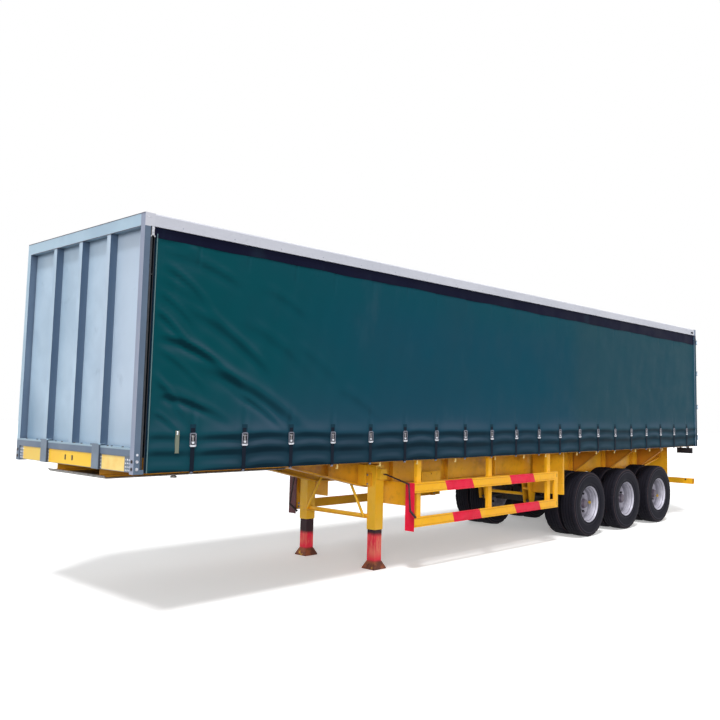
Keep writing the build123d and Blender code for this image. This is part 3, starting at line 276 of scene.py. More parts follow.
def rim_paint(name):
    """Silver rims: bright at the lip, with painted shade deeper in the dish, brake dust in patches there, and dirt
    and painted shade around the disc.
    """
    paint = Paint(name, (184, 182, 194), 0.42, 0.25, 0.35)
    depth = paint.math("ABSOLUTE", paint.y)
    paint.coat(paint.cloud(8.0), (160, 158, 170))
    inner = paint.ramp(depth, 0.96, 1.15, 1.0, 0.0)
    # Painted shade: darker deeper in the dish and on the inner rim.
    paint.coat(inner, (112, 108, 122), 0.55)
    paint.coat(paint.times(paint.cloud(14.0, 0.4, detail=6.0, seed=2.0), inner), (84, 76, 84), 0.35)
    ring = paint.math("MAXIMUM", paint.band(depth, 1.090, 1.094, 0.001), paint.band(depth, 1.160, 1.166, 0.002))
    paint.coat(ring, (64, 60, 68), 0.7)
    # Dirt and painted shade around the disc, the nuts and the hub.
    paint.corner_dirt_and_shade(0.08, 0.75, (52, 48, 58))
    return paint.finish(paint.cloud(9.0, 0.3, 0.7, 0.36, 0.55))


def wood(name):
    """Sealed plywood, seen through the open doors."""
    paint = Paint(name, (126, 86, 52), 0.6)
    grain = paint.noise(6.0, detail=8.0, stretch=(0.25, 6, 1))
    paint.coat(paint.ramp(grain, 0.3, 0.7), (84, 54, 34))
    return paint.finish(None, paint.bump(grain, 0.0006, 0.4))


def cloth(name, main, shade, low):
    """Dark coated cloth or webbing: a fine weave under a satin coat, of another tint low down."""
    paint = Paint(name, main, 0.5, specular=0.04)
    paint.coat(paint.cloud(0.7, 0.3, 0.72), shade)
    paint.coat(paint.ramp(paint.z, 1.4, 2.6, 0.75, 0.0), low)
    streak = paint.cloud(2.2, 0.55, 0.8, detail=7.0, stretch=(1, 1, 0.35), seed=2.0)
    paint.coat(streak, (58, 84, 96), 0.25)
    threads = [paint.add("ShaderNodeTexWave", Vector=paint.place, Scale=280.0, Distortion=0.0) for _ in range(2)]
    for thread, direction in zip(threads, "ZX"):
        thread.bands_direction = direction
    net = paint.times(*(thread.outputs["Fac"] for thread in threads))
    crease = paint.bump(paint.noise(9.0, detail=5.0, seed=5.0), 0.004, 0.35)
    return paint.finish(paint.cloud(3.0, 0.3, 0.7, 0.44, 0.6), paint.bump(net, 0.0003, 0.4, crease))


def tarpaulin(name):
    """The curtains' coated cloth: green by the front and the top, bluer below as a painted reflection, with painted
    shade at its front edge and painted highlight and shade on its creases.
    """
    paint = Paint(name, (18, 72, 90), 0.5, specular=0.03)
    x, z = paint.x, paint.z
    paint.coat(paint.ramp(x, 2.2, 6.1, 0.0, 0.85), (4, 74, 80))
    paint.coat(paint.ramp(z, 2.9, 3.5, 0.0, 0.4), (12, 76, 84))
    # Painted reflection: bluer low down on the cloth, fading out near the front edge.
    paint.coat(paint.times(paint.ramp(z, 1.45, 2.5, 0.9, 0.0), paint.ramp(x, 4.6, 6.0, 1.0, 0.15)), (40, 74, 94))
    paint.coat(paint.ramp(x, -1.7, -1.1, 0.6, 0.0), (42, 74, 84))
    paint.coat(paint.times(paint.ramp(z, 1.66, 1.80, 0.75, 0.0), paint.ramp(x, 4.9, 5.7, 1.0, 0.2)), (26, 46, 58))
    paint.coat(paint.cloud(0.8, 0.38, 0.72, seed=4.0), (34, 70, 86), 0.35)
    streak = paint.cloud(2.6, 0.55, 0.8, detail=7.0, stretch=(1, 1, 0.4), seed=2.0)
    paint.coat(streak, (66, 92, 106), 0.2)
    # Painted shade: the cloth in front of the piping is dark, for the shadowed gap before the corner post.
    paint.coat(paint.ramp(x, 6.211, 6.214), (14, 36, 52))
    # Painted highlight where the creases face up and painted shade where they face down, from an attribute of the
    # sheet.
    painted_light = paint.add("ShaderNodeAttribute")
    painted_light.attribute_name = "painted_light"
    paint.coat(paint.ramp(painted_light.outputs["Fac"], 0.0, 1.0), (72, 90, 108), 0.6)
    paint.coat(paint.ramp(painted_light.outputs["Fac"], 0.0, -1.0), (6, 32, 44), 0.72)
    crease = paint.bump(paint.noise(7.0, detail=5.0, seed=5.0), 0.006, 0.3)
    weave = paint.bump(paint.noise(520.0, detail=2.0), 0.0003, 0.3, crease)
    return paint.finish(paint.cloud(3.0, 0.3, 0.7, 0.4, 0.56), weave)


GUARD_STRIPES = (
    (1.868, 1.284, 1.809, 1.221, 1.112, 0.974), (0.395, -0.227, 0.326, -0.290, 1.112, 0.974),
    (1.701, 1.106, 1.652, 1.042, 0.681, 0.541), (0.274, -0.387, 0.194, -0.452, 0.681, 0.541),
)


def guard_paint(name):
    """Yellow side guards with slanted red stripes and a red front end."""
    paint = Paint(name, YELLOW, 0.42, specular=0.3)
    paint.age(YELLOW_SHADE, YELLOW_DIRT_AND_SHADE, 0.4)
    red = paint.mix(paint.cloud(3.0), RED, RED_SHADE)
    outward = paint.ramp(paint.math("ABSOLUTE", paint.y), 1.1702, 1.1708)
    paint.coat(paint.times(paint.slanted(GUARD_STRIPES), outward), red)
    front = paint.times(paint.ramp(paint.x, 2.462, 2.464), paint.ramp(paint.z, 1.112, 1.118, 1.0, 0.0))
    paint.coat(front, paint.mix(paint.ramp(paint.y, -0.2, 0.2), (96, 44, 50), red))
    return paint.spray(0.32, 0.55, 0.4)


def leg_paint(name):
    """Red inner legs: greased dark at the top, worn pale down the middle, rusty at the shoe."""
    paint = Paint(name, (246, 44, 74), 0.5, specular=0.3)
    paint.coat(paint.cloud(4.0), (236, 60, 76))
    worn = paint.cloud(9.0, 0.5, 0.68, detail=6.0, stretch=(3, 3, 0.5))
    worn = paint.math("MAXIMUM", worn, paint.cloud(2.0, 0.42, 0.6, 0.0, 0.6, stretch=(6, 6, 1), seed=3.0))
    paint.coat(paint.times(worn, paint.band(paint.z, 0.16, 0.42, 0.06)), (255, 160, 128), 0.85)
    level = paint.math("ADD", paint.z, paint.ramp(paint.y, -0.2, 0.2, 0.12, 0.0))
    level = paint.math("ADD", level, paint.times(paint.noise(6.0), 0.07))
    paint.coat(paint.ramp(level, 0.430, 0.495), (40, 10, 22))
    shoe = paint.mix(paint.cloud(7.0, 0.42, 0.6, detail=6.0, seed=1.0), (150, 84, 56), (96, 56, 44))
    shoe = paint.mix(paint.cloud(5.0, 0.6, 0.66, seed=9.0), shoe, (228, 176, 60))
    paint.coat(paint.ramp(paint.z, 0.08, 0.12, 1.0, 0.0), shoe)
    # Dirt and painted shade in the corners, in dark red.
    paint.corner_dirt_and_shade(0.05, 0.6, (60, 26, 30))
    return paint.finish(None, paint.bump(paint.noise(60.0, detail=5.0), 0.0008, 0.5))


def wall_paint(name):
    """The headboard: pale blue-grey panels with soft smudges, painted light and shade across them, and slate on the
    sides of its ribs as painted shade.
    """
    paint = Paint(name, (184, 207, 227), 0.36)
    paint.coat(paint.cloud(1.3, 0.35, 0.68), (166, 190, 211))
    # Painted light and shade across the flat panels: lighter towards the near side, darker low down, darkest at the
    # far lower corner.
    paint.coat(paint.ramp(paint.y, -0.2, 1.1, 0.0, 0.55), (192, 204, 222))
    paint.coat(paint.ramp(paint.z, 1.6, 2.2, 0.6, 0.0), (144, 168, 188))
    far = paint.times(paint.ramp(paint.y, -1.1, -0.6, 1.0, 0.0), paint.ramp(paint.z, 1.6, 2.6, 0.75, 0.0))
    paint.coat(far, (124, 152, 176))
    paint.coat(paint.cloud(3.4, 0.62, 0.74, detail=6.0, seed=5.0), (120, 146, 170), 0.3)
    # Painted shade: the sides of the ribs in slate.
    paint.coat(paint.facing(1), (62, 82, 106))
    # Dirt and painted shade in the corners, in a darker blue-grey.
    paint.corner_dirt_and_shade(0.06, 0.5, (92, 110, 130))
    return paint.finish(paint.cloud(2.0, 0.3, 0.7, 0.3, 0.46))


def frame_paint(name):
    """The front frame: pale faces above and on the far post and lighter tops, as painted light; slate on the sides,
    as painted shade; the foot rail slate.
    """
    paint = Paint(name, (84, 102, 124), 0.4)
    cloud = paint.cloud(2.0)
    paint.coat(cloud, (94, 112, 133))
    pale = paint.mix(cloud, (172, 198, 216), (160, 186, 206))
    lilac = paint.mix(cloud, (146, 154, 176), (136, 146, 168))
    near = paint.ramp(paint.y, 1.17, 1.18)
    foot = paint.mix(paint.band(paint.z, 1.603, 1.63, 0.002), paint.base, (146, 170, 186))
    front = paint.mix(paint.ramp(paint.z, 1.619, 1.621), foot, paint.mix(near, pale, lilac))
    cap = paint.times(paint.ramp(paint.z, 3.653, 3.657), paint.ramp(paint.math("ABSOLUTE", paint.y), 1.246, 1.248))
    paint.coat(cap, (206, 208, 218))
    # Painted light: faces towards the front are paler than the slate sides, which stand as painted shade.
    paint.coat(paint.facing(0), paint.mix(near, front, lilac))
    # A painted highlight on the tops.
    paint.coat(paint.facing(2), (150, 178, 196))
    # Dirt and painted shade in the corners, in dark slate.
    paint.corner_dirt_and_shade(0.05, 0.55, (58, 66, 80))
    return paint.finish(paint.cloud(3.0, 0.3, 0.7, 0.32, 0.5))


def lug_paint(name):
    """The lugs on the nose: slate, with painted shade on their sides and a painted highlight on their tops."""
    paint = Paint(name, (110, 126, 144), 0.4)
    paint.coat(paint.cloud(6.0), (98, 114, 132))
    # Painted shade on the sides, painted highlight on the tops.
    paint.coat(paint.facing(1), (52, 64, 80))
    paint.coat(paint.facing(2), (150, 176, 192))
    return paint.finish()


# The nose beam's yellow panels, each paled by painted highlight to its own degree: right end, left end, colour
NOSE_PANELS = ((-1.10, -0.66, (238, 200, 84)), (-0.47, 0.45, (252, 204, 36)), (0.65, 1.07, (252, 222, 132)))


def nose_paint(name):
    """The beam under the headboard: slate, with three yellow panels."""
    paint = Paint(name, (104, 118, 134), 0.42)
    paint.coat(paint.cloud(3.0), (92, 106, 124))
    for low, high, shade in NOSE_PANELS:
        inside = paint.times(paint.band(paint.y, low, high, 0.002), paint.band(paint.z, 1.404, 1.538, 0.002))
        # The panels are paler than the chassis yellow: a painted highlight on the front faces.
        lit_panel = paint.mix(paint.cloud(5.0, 0.4, 0.75, 0.0, 0.4, seed=low), shade, YELLOW_SHADE)
        paint.coat(paint.times(inside, paint.facing(0)), lit_panel)
    # Brown dirt and painted shade in the corners.
    paint.corner_dirt_and_shade(0.04, 0.4, (120, 80, 30))
    return paint.finish()


FINISH = {
    "chassis": chassis_paint("chassis_yellow"),
    "floor": wood("floor_board"),
    "steel": bare_metal("greased_steel", (120, 116, 112), (60, 56, 52), 0.4),
    "wall": wall_paint("wall_blue_grey"),
    "frame": frame_paint("front_frame_grey"),
    "nose": nose_paint("nose_beam"),
    "lug": lug_paint("lug_slate"),
    "bright": bare_metal("bright_fixing", (212, 214, 222), (160, 160, 168), 0.35),
    "lock": bare_metal("lock_plate", (205, 208, 214), (130, 134, 144), 0.34),
    "nut": bare_metal("wheel_nut", (150, 148, 152), (84, 78, 76), 0.4),
    "valance": cloth("valance_cloth", (14, 17, 38), (20, 22, 43), (26, 29, 46)),
    "strap": cloth("strap_webbing", (24, 30, 42), (30, 40, 52), (26, 34, 46)),
    "patch": cloth("strap_patch", (20, 60, 72), (24, 64, 78), (30, 52, 68)),
    "curtain": tarpaulin("curtain_cloth"),
    "tyre": rubber("tyre_rubber"),
    "wheel": rim_paint("wheel_silver"),
    "leg": leg_paint("leg_red"),
    "guard": guard_paint("guard_yellow"),
}
# Sprayed paints: key, name, main colour, shade, dirt and corner shade, roughness, grime and painted corner shade,
# reach of the dirt and corner shade, metal
for key, *recipe in (
    ("dull", "chassis_dull", (214, 140, 26), (196, 120, 22), (130, 72, 26), 0.6, 0.7),
    # leg_yellow is paler than the chassis yellow and keeps little shade in its corners: painted light for the legs,
    # which stand in shade under the deck.
    ("leg_yellow", "leg_yellow", (255, 200, 44), (255, 188, 34), YELLOW_DIRT_AND_SHADE, 0.4, 0.2, 0.04),
    ("cream", "hook_cream", (250, 222, 140), (226, 196, 108), (150, 110, 50), 0.4, 0.3),
    ("amber", "lens_amber", (232, 138, 20), (220, 120, 16), (120, 70, 20), 0.15, 0.2),
    ("clear", "lens_clear", (226, 228, 232), (206, 208, 214), (130, 130, 136), 0.12, 0.2),
    ("lamp", "lamp_red", (190, 22, 26), (160, 16, 20), (90, 16, 18), 0.15, 0.2),
    ("seal", "rubber_seal", (24, 24, 28), (34, 33, 36), (52, 48, 46), 0.7, 0.4),
    ("trim", "dark_trim", (86, 84, 96), (74, 72, 84), (50, 48, 58), 0.5, 0.3),
    ("pole", "pole_dark", (16, 22, 30), (22, 28, 36), (14, 16, 22), 0.5, 0.3),
    ("hole", "shadow_black", (10, 10, 16), (16, 16, 22), (20, 20, 26), 0.7, 0.1),
    ("brass", "valve_brass", (206, 170, 70), (190, 150, 60), (110, 84, 40), 0.35, 0.3),
    ("piping", "edge_piping", (96, 128, 132), (84, 116, 122), (50, 70, 78), 0.5, 0.2),
    ("olive", "olive_strip", (128, 134, 116), (112, 118, 104), (80, 84, 74), 0.45, 0.3),
    ("post", "post_grey", (124, 136, 158), (112, 124, 148), (70, 76, 92), 0.4),
    ("rail", "top_rail_grey", (206, 208, 218), (192, 195, 207), (140, 144, 156), 0.4, 0.35),
    ("roof", "roof_skin", (222, 224, 230), (208, 212, 220), (150, 152, 160), 0.45, 0.35),
    ("buckle", "zinc_plate", (122, 126, 140), (96, 100, 114), (44, 48, 60), 0.35, 0.6, 0.03, 0.4),
    ("door", "door_blue_grey", (180, 200, 220), (166, 188, 210), (96, 112, 134), 0.4),
    ("axle", "axle_black", (44, 44, 48), (58, 54, 52), (92, 74, 58), 0.55, 0.6),
    ("spring", "spring_dark", (58, 56, 58), (74, 66, 60), (104, 80, 58), 0.55, 0.7),
    ("dark", "dark_steel", (36, 36, 42), (48, 46, 50), (86, 66, 50), 0.45),
    ("hubcap", "hub_grey", (152, 150, 162), (124, 122, 134), (48, 44, 50), 0.4),
    ("cap", "hub_cap", (88, 78, 92), (70, 62, 74), (34, 30, 36), 0.35, 0.4),
    ("crank", "crank_dark", (30, 13, 16), (40, 18, 20), (44, 24, 22), 0.7, 0.1, 0.0),
):
    FINISH[key] = painted(*recipe)

# The CAD nodes that wear each finish; the wheels and tyres, by their names, wear theirs
FINISHED = {
    "chassis": "main_beams cross_members side_rails spring_hangers guard_brackets mud_shields rear_bumper",
    "dull": "outrigger_gussets", "leg_yellow": "landing_legs leg_braces", "leg": "landing_feet",
    "crank": "leg_cranks", "guard": "side_guard_left side_guard_right", "floor": "floor",
    "steel": "coupler_plate kingpin", "nose": "front_beam", "lug": "front_brackets", "frame": "front_frame",
    "wall": "front_wall", "rail": "cant_rails roof_bows side_posts", "roof": "roof", "pole": "curtain_poles",
    "valance": "valances", "curtain": "curtain_left curtain_right", "buckle": "buckles_left buckles_right",
    "post": "rear_frame", "door": "door_left door_right", "lock": "door_locks_left door_locks_right",
    "axle": "axles radius_rods", "spring": "leaf_springs equalisers",
    "dark": "brake_chambers air_tanks rear_lamps",
}
NODE_FINISH = {node: key for key, nodes in FINISHED.items() for node in nodes.split()}


class Form:
    """A mesh under construction, with faces of several finishes, that becomes one piece."""

    def __init__(self):
        self.points = []
        self.faces = []
        self.marks = []
        self.keys = []

    def add(self, points, faces, key):
        start = len(self.points)
        if key not in self.keys:
            self.keys.append(key)
        mark = self.keys.index(key)
        self.points += [tuple(point) for point in points]
        self.faces += [tuple(start + index for index in face) for face in faces]
        self.marks += [mark] * len(faces)

    def box(self, low, high, key):
        (x0, y0, z0), (x1, y1, z1) = low, high
        points = [(x, y, z) for z in (z0, z1) for x, y in ((x0, y0), (x1, y0), (x1, y1), (x0, y1))]
        faces = [(3, 2, 1, 0), (4, 5, 6, 7), (0, 1, 5, 4), (1, 2, 6, 5), (2, 3, 7, 6), (3, 0, 4, 7)]
        self.add(points, faces, key)

    def slab(self, side, x0, x1, y0, y1, z0, z1, key):
        """A box on one side of the trailer, with Y outwards."""
        inner, outer = sorted((side * y0, side * y1))
        self.box((x0, inner, z0), (x1, outer, z1), key)

    def prism(self, low, high, outline, key):
        """An outline in Y and Z, run along X from low to high."""
        count = len(outline)
        points = [(x, y, z) for x in (low, high) for y, z in outline]
        faces = [tuple(reversed(range(count))), tuple(range(count, 2 * count))]
        for index in range(count):
            after = (index + 1) % count
            faces.append((index, after, after + count, index + count))
        self.add(points, faces, key)

    def lathe(self, place, axis, profile, key, steps=32, turn=0.0, ripple=None, open_ends=False, skip=None):
        """A profile of (along, radius) turned about an axis; ripple changes a radius by ring and step."""
        ahead = Vector(axis).normalized()
        side = ahead.orthogonal().normalized() if abs(ahead.z) > 0.9 else Vector((0, 0, 1))
        other = ahead.cross(side)
        points = []
        for ring, (along, radius) in enumerate(profile):
            for step in range(steps):
                angle = math.tau * step / steps + turn
                reach = radius + (ripple(ring, step) if ripple else 0)
                out = side * (math.cos(angle) * reach) + other * (math.sin(angle) * reach)
                points.append(Vector(place) + ahead * along + out)
        faces = []
        for ring in range(len(profile) - 1):
            for step in range(steps):
                after = (step + 1) % steps
                low, high = ring * steps, (ring + 1) * steps
                if skip is None or not skip(ring, step):
                    faces.append((low + step, low + after, high + after, high + step))
        if not open_ends:
            faces.append(tuple(reversed(range(steps))))
            faces.append(tuple(range((len(profile) - 1) * steps, len(profile) * steps)))
        self.add(points, faces, key)

    def bolt(self, place, axis, radius, height, key, turn=0.0):
        """A six-sided head on a round washer; place is on the surface below it."""
        self.lathe(place, axis, [(0, radius * 1.5), (height * 0.3, radius * 1.45)], key, 20)
        head = [(height * 0.3, radius), (height * 0.9, radius), (height, radius * 0.86)]
        self.lathe(place, axis, head, key, 6, turn)

    def rivet(self, place, axis, radius, height, key):
        """A low round head."""
        profile = [(0, radius), (height * 0.6, radius * 0.82), (height, radius * 0.4)]
        self.lathe(place, axis, profile, key, 10)

    def piece(self, name, body="root", bevel=0.0, smooth=35):
        """The finished piece, riding on its body; bevel softens its edges by that many metres."""
        mesh = bpy.data.meshes.new(name)
        mesh.from_pydata(self.points, [], self.faces)
        for key in self.keys:
            mesh.materials.append(FINISH[key])
        mesh.polygons.foreach_set("material_index", self.marks)
        mesh.shade_smooth()
        mesh.set_sharp_from_angle(angle=math.radians(smooth))
        thing = bpy.data.objects.new(name, mesh)
        bpy.context.collection.objects.link(thing)
        if bevel:
            soft = thing.modifiers.new("edges", "BEVEL")
            soft.width = bevel
            soft.segments = 2
            soft.limit_method = "ANGLE"
            soft.angle_limit = math.radians(smooth)
        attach(thing, body)
        return thing


# The curtains: their lines, and where they are pulled and creased
CURTAIN_REAR_X, CURTAIN_FRONT_X = -6.272, 6.238
FLAP_X, FLAP_RISE = -6.185, 0.0238
CURTAIN_TOP_Z, CURTAIN_HEM_Z = 3.635, 1.39
CURTAIN_Y = 1.228
CURTAIN_COLUMNS, CURTAIN_ROWS = 700, 100
CLOTH_IN, CLOTH_OUT = -0.0105, 0.0155
PAINTED_CREASE_GAIN = 3.6
BUCKLE_COUNT = 20
BUCKLE_FRONT_X, BUCKLE_REAR_X = 5.736, -5.797
BUCKLE_PITCH = (BUCKLE_FRONT_X - BUCKLE_REAR_X) / (BUCKLE_COUNT - 1)
# How far the cloth stands out near its hem: height, metres
HEM_PROFILE = [
    (1.39, -0.006), (1.41, 0.002), (1.43, 0.005), (1.46, 0.003), (1.50, -0.002), (1.54, -0.004), (1.56, 0.001),
    (1.59, 0.009), (1.61, 0.010), (1.645, 0.005), (1.68, 0.0), (1.695, -0.001), (1.715, 0.003), (1.74, 0.008),
    (1.76, 0.0085), (1.80, 0.005), (1.88, 0.0), (3.64, 0.0),
]
# Creases: X and Z of both ends, how tall, how wide
CREASES_LEFT = [
    (5.92, 3.02, 4.72, 2.30, 0.010, 0.05), (5.90, 2.52, 4.10, 1.66, 0.013, 0.065),
    (6.20, 2.69, 5.38, 2.40, 0.011, 0.035), (6.22, 2.34, 5.76, 1.78, 0.010, 0.035),
    (6.24, 3.59, 5.68, 3.45, 0.007, 0.03), (6.24, 2.94, 5.79, 2.55, 0.010, 0.03),
    (6.16, 3.36, 5.54, 2.95, 0.009, 0.035), (5.32, 2.20, 4.58, 1.76, 0.009, 0.03),
    (6.18, 2.13, 5.50, 1.94, 0.009, 0.03), (6.22, 3.10, 5.70, 2.72, 0.006, 0.025),
    (4.60, 2.75, 3.72, 2.25, 0.004, 0.06), (3.95, 2.30, 3.05, 1.85, 0.004, 0.06),
    (5.05, 3.30, 4.20, 2.95, 0.004, 0.05), (6.20, 1.98, 5.86, 1.74, 0.006, 0.025),
    (6.24, 3.50, 5.10, 3.20, 0.006, 0.04), (6.22, 2.80, 4.95, 2.05, 0.006, 0.05),
    (5.30, 2.95, 4.10, 2.30, 0.005, 0.06), (6.22, 2.22, 5.20, 1.80, 0.006, 0.04),
    (6.24, 3.25, 5.30, 2.75, 0.005, 0.035), (6.23, 2.58, 5.55, 2.12, 0.005, 0.03),
]
CREASES_RIGHT = [
    (5.95, 3.25, 5.15, 2.75, 0.009, 0.04), (5.60, 2.35, 4.70, 1.80, 0.012, 0.05),
    (6.18, 2.60, 5.55, 2.25, 0.010, 0.035), (6.10, 2.10, 5.50, 1.85, 0.009, 0.03),
    (4.70, 3.10, 3.80, 2.65, 0.005, 0.05), (-5.90, 2.95, -5.20, 2.45, 0.007, 0.04),
]
# Painted highlight and shade of the folds near the hem: height, tone from -1 to 1
HEM_SHADE = [
    (1.39, -0.9), (1.405, -0.7), (1.425, -0.1), (1.46, 0.35), (1.50, 0.15), (1.535, -0.3), (1.565, -0.95),
    (1.59, -0.6), (1.62, 0.35), (1.65, 0.55), (1.675, -0.2), (1.705, -0.95), (1.735, -0.6), (1.77, 0.25),
    (1.81, 0.5), (1.88, 0.28), (1.98, 0.06), (2.10, 0.0),
]


def smooth_step(value):
    value = numpy.clip(value, 0, 1)
    return value * value * (3 - 2 * value)


def bell(offset, wide):
    return numpy.exp(-((offset / wide) ** 2))


def fold(along, across, wide):
    """A ridge with a valley beside it, sharp across and fading at its ends."""
    ends = smooth_step(along * 3.2) * smooth_step((1 - along) * 3.2)
    return ends * (bell(across, wide) - 0.75 * bell(across + 1.7 * wide, 1.3 * wide))


def curtain_depth(x, z, creases, seed):
    """How far the cloth stands out from its plane, in metres, at each x and z."""
    draw = random.Random(seed)
    high = smooth_step((z - 1.80) / 0.5)
    low = 1 - smooth_step((z - 1.72) / 0.25)
    top = smooth_step((z - 3.1) / 0.4)
    depth = numpy.zeros_like(x)
    for wave in range(9):
        length = draw.uniform(0.9, 3.2)
        lean = draw.uniform(-0.5, 0.9)
        turn = draw.uniform(0, math.tau)
        depth += 0.0011 * numpy.sin((x + lean * z) * math.tau / length + turn) * high * (1 - 0.6 * top)
    ripple = numpy.sin((x + 0.25 * z) * math.tau / 0.31 + 1.3 * numpy.sin(x * 1.7))
    depth += 0.0009 * ripple * high * (1 - top)
    for x0, z0, x1, z1, tall, wide in creases:
        run, rise = x1 - x0, z1 - z0
        length = math.hypot(run, rise)
        along = ((x - x0) * run + (z - z0) * rise) / length ** 2
        bow = 0.05 * length * numpy.sin(math.pi * numpy.clip(along, 0, 1))
        across = ((z - z0) * run - (x - x0) * rise) / length + bow
        depth += tall * fold(along, -across, wide)
    share = (BUCKLE_FRONT_X - x) / BUCKLE_PITCH
    off = share - numpy.round(share)
    inside = smooth_step((share + 0.75) / 0.3) * smooth_step((BUCKLE_COUNT - 0.25 - share) / 0.3)
    between = smooth_step(numpy.abs(off) / 0.30)
    wobble = 0.012 * numpy.sin(x * 2.9 + seed) * low
    depth += numpy.interp(z + wobble, *zip(*HEM_PROFILE)) * (0.22 + 0.78 * between) * low
    pull = bell(off * BUCKLE_PITCH, 0.03) * inside
    depth -= 0.0028 * pull * smooth_step((z - 1.70) / 0.1) * (1 - smooth_step((z - 1.86) / 0.3))
    lift = bell(numpy.abs(off) * BUCKLE_PITCH - 0.055, 0.03) * inside
    depth += 0.0016 * lift * smooth_step((z - 1.70) / 0.1) * (1 - smooth_step((z - 1.84) / 0.22))
    shift = numpy.round(share)
    tuck_x = BUCKLE_FRONT_X - shift * BUCKLE_PITCH + 0.02 * numpy.sin(shift * 2.4)
    tuck = bell(x - tuck_x, 0.016) * inside
    depth -= 0.0042 * tuck * smooth_step((z - 3.28 - 0.05 * numpy.sin(shift * 1.7)) / 0.2)
    return depth


def curtain_painted_light(x, z, depth, seed):
    """Painted highlight and shade for each point of the cloth, from its slope and from a profile of painted shade
    along its hem.
    """
    lean_x = numpy.gradient(depth, axis=1) / numpy.gradient(x, axis=1)
    lean_z = numpy.gradient(depth, axis=0) / numpy.gradient(z, axis=0)
    slope = -(lean_z + 0.35 * lean_x) * PAINTED_CREASE_GAIN
    share = (BUCKLE_FRONT_X - x) / BUCKLE_PITCH
    off = share - numpy.round(share)
    sag = 0.010 * numpy.cos(off * math.tau) + 0.010 * numpy.sin(x * 2.9 + seed) + 0.006 * numpy.sin(x * 7.3)
    near = 1 - smooth_step((z - 1.65) / 0.25)
    shade = numpy.interp(z + sag * near, *zip(*HEM_SHADE))
    strength = 0.75 + 0.25 * numpy.sin(x * 1.9 + 1.1 * seed) + 0.15 * numpy.sin(x * 5.1)
    begin = 0.35 + 0.65 * smooth_step((5.75 - x) / 0.7)
    # Painted shade beside each strap, low on the cloth.
    strap_shade = bell(off * BUCKLE_PITCH, 0.05) * near * 0.45
    return numpy.clip(slope * (1 - 0.5 * near) + shade * strength * begin - strap_shade, -1, 1)


def hang_curtain(side, creases, seed):
    """One curtain from its rail to its hem, in one sheet of cloth."""
    name = "left" if side > 0 else "right"
    across = numpy.linspace(CURTAIN_REAR_X, CURTAIN_FRONT_X, CURTAIN_COLUMNS)
    share = numpy.linspace(0, 1, CURTAIN_ROWS)
    up = CURTAIN_HEM_Z + (CURTAIN_TOP_Z - CURTAIN_HEM_Z) * (0.42 * share + 0.58 * share ** 1.9)
    x, z = numpy.meshgrid(across, up)
    depth = curtain_depth(x, z, creases, seed)
    ends = smooth_step((CURTAIN_FRONT_X - x) / 0.12) * smooth_step((x - CURTAIN_REAR_X) / 0.04)
    depth = numpy.clip(depth * (0.3 + 0.7 * ends), CLOTH_IN, CLOTH_OUT)
    depth = numpy.where(z > 3.5, numpy.clip(depth, -0.01, 0.002), depth)
    over = smooth_step((FLAP_X - x) / 0.02)
    y = side * (CURTAIN_Y + depth * (1 - over) + FLAP_RISE * over)
    points = numpy.stack((x, y, z), axis=-1).reshape(-1, 3)
    faces = []
    for row in range(CURTAIN_ROWS - 1):
        for column in range(CURTAIN_COLUMNS - 1):
            first = row * CURTAIN_COLUMNS + column
            quad = (first, first + 1, first + 1 + CURTAIN_COLUMNS, first + CURTAIN_COLUMNS)
            faces.append(quad if side < 0 else tuple(reversed(quad)))
    form = Form()
    form.add(points.tolist(), faces, "curtain")
    sheet = form.piece("curtain_cloth_" + name, smooth=180)
    # The painted highlight and shade of the creases, kept on the sheet for its material.
    painted_light = curtain_painted_light(x, z, depth, seed)
    marks = sheet.data.attributes.new("painted_light", "FLOAT", "POINT")
    marks.data.foreach_set("value", painted_light.reshape(-1).astype(numpy.float32))
    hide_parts("curtain_" + name)


VALANCE_LENGTH, VALANCE_TOP_Z, VALANCE_Y = 12.556, 3.658, 1.2335


def hang_valances():
    """The dark strips of cloth that cover the curtains' tracks; they stand for the dark flaps together with the
    shadow under the rail, a painted shadow, and deepen towards the rear.
    """
    form = Form()
    count, rows = 420, 9
    for side in (1, -1):
        points, faces = [], []
        for row in range(rows):
            share = row / (rows - 1)
            for column in range(count):
                x = CURTAIN_REAR_X + VALANCE_LENGTH * column / (count - 1)
                # The lower edge drops towards the rear: partly the flap, partly painted shadow under the rail.
                hem = 3.468 + (x + 6.19) / 12.43 * 0.094 + 0.004 * math.sin(x * 3.1) + 0.003 * math.sin(x * 7.7 + 1)
                z = VALANCE_TOP_Z + (hem - VALANCE_TOP_Z) * share
                wave = math.sin(x * math.tau / BUCKLE_PITCH + 0.6) + 0.6 * math.sin(x * math.tau / 0.23 + side)
                rise = 0.0195 * min(max((FLAP_X - x) / 0.02, 0), 1)
                y = side * (VALANCE_Y + rise + 0.0014 * share * wave - 0.001 * (1 - share))
                points.append((x, y, z))
        for row in range(rows - 1):
            for column in range(count - 1):
                first = row * count + column
                quad = (first, first + count, first + count + 1, first + 1)
                faces.append(quad if side < 0 else tuple(reversed(quad)))
        form.add(points, faces, "valance")
    sheet = form.piece("valance_cloths", smooth=180)
    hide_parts("valances")


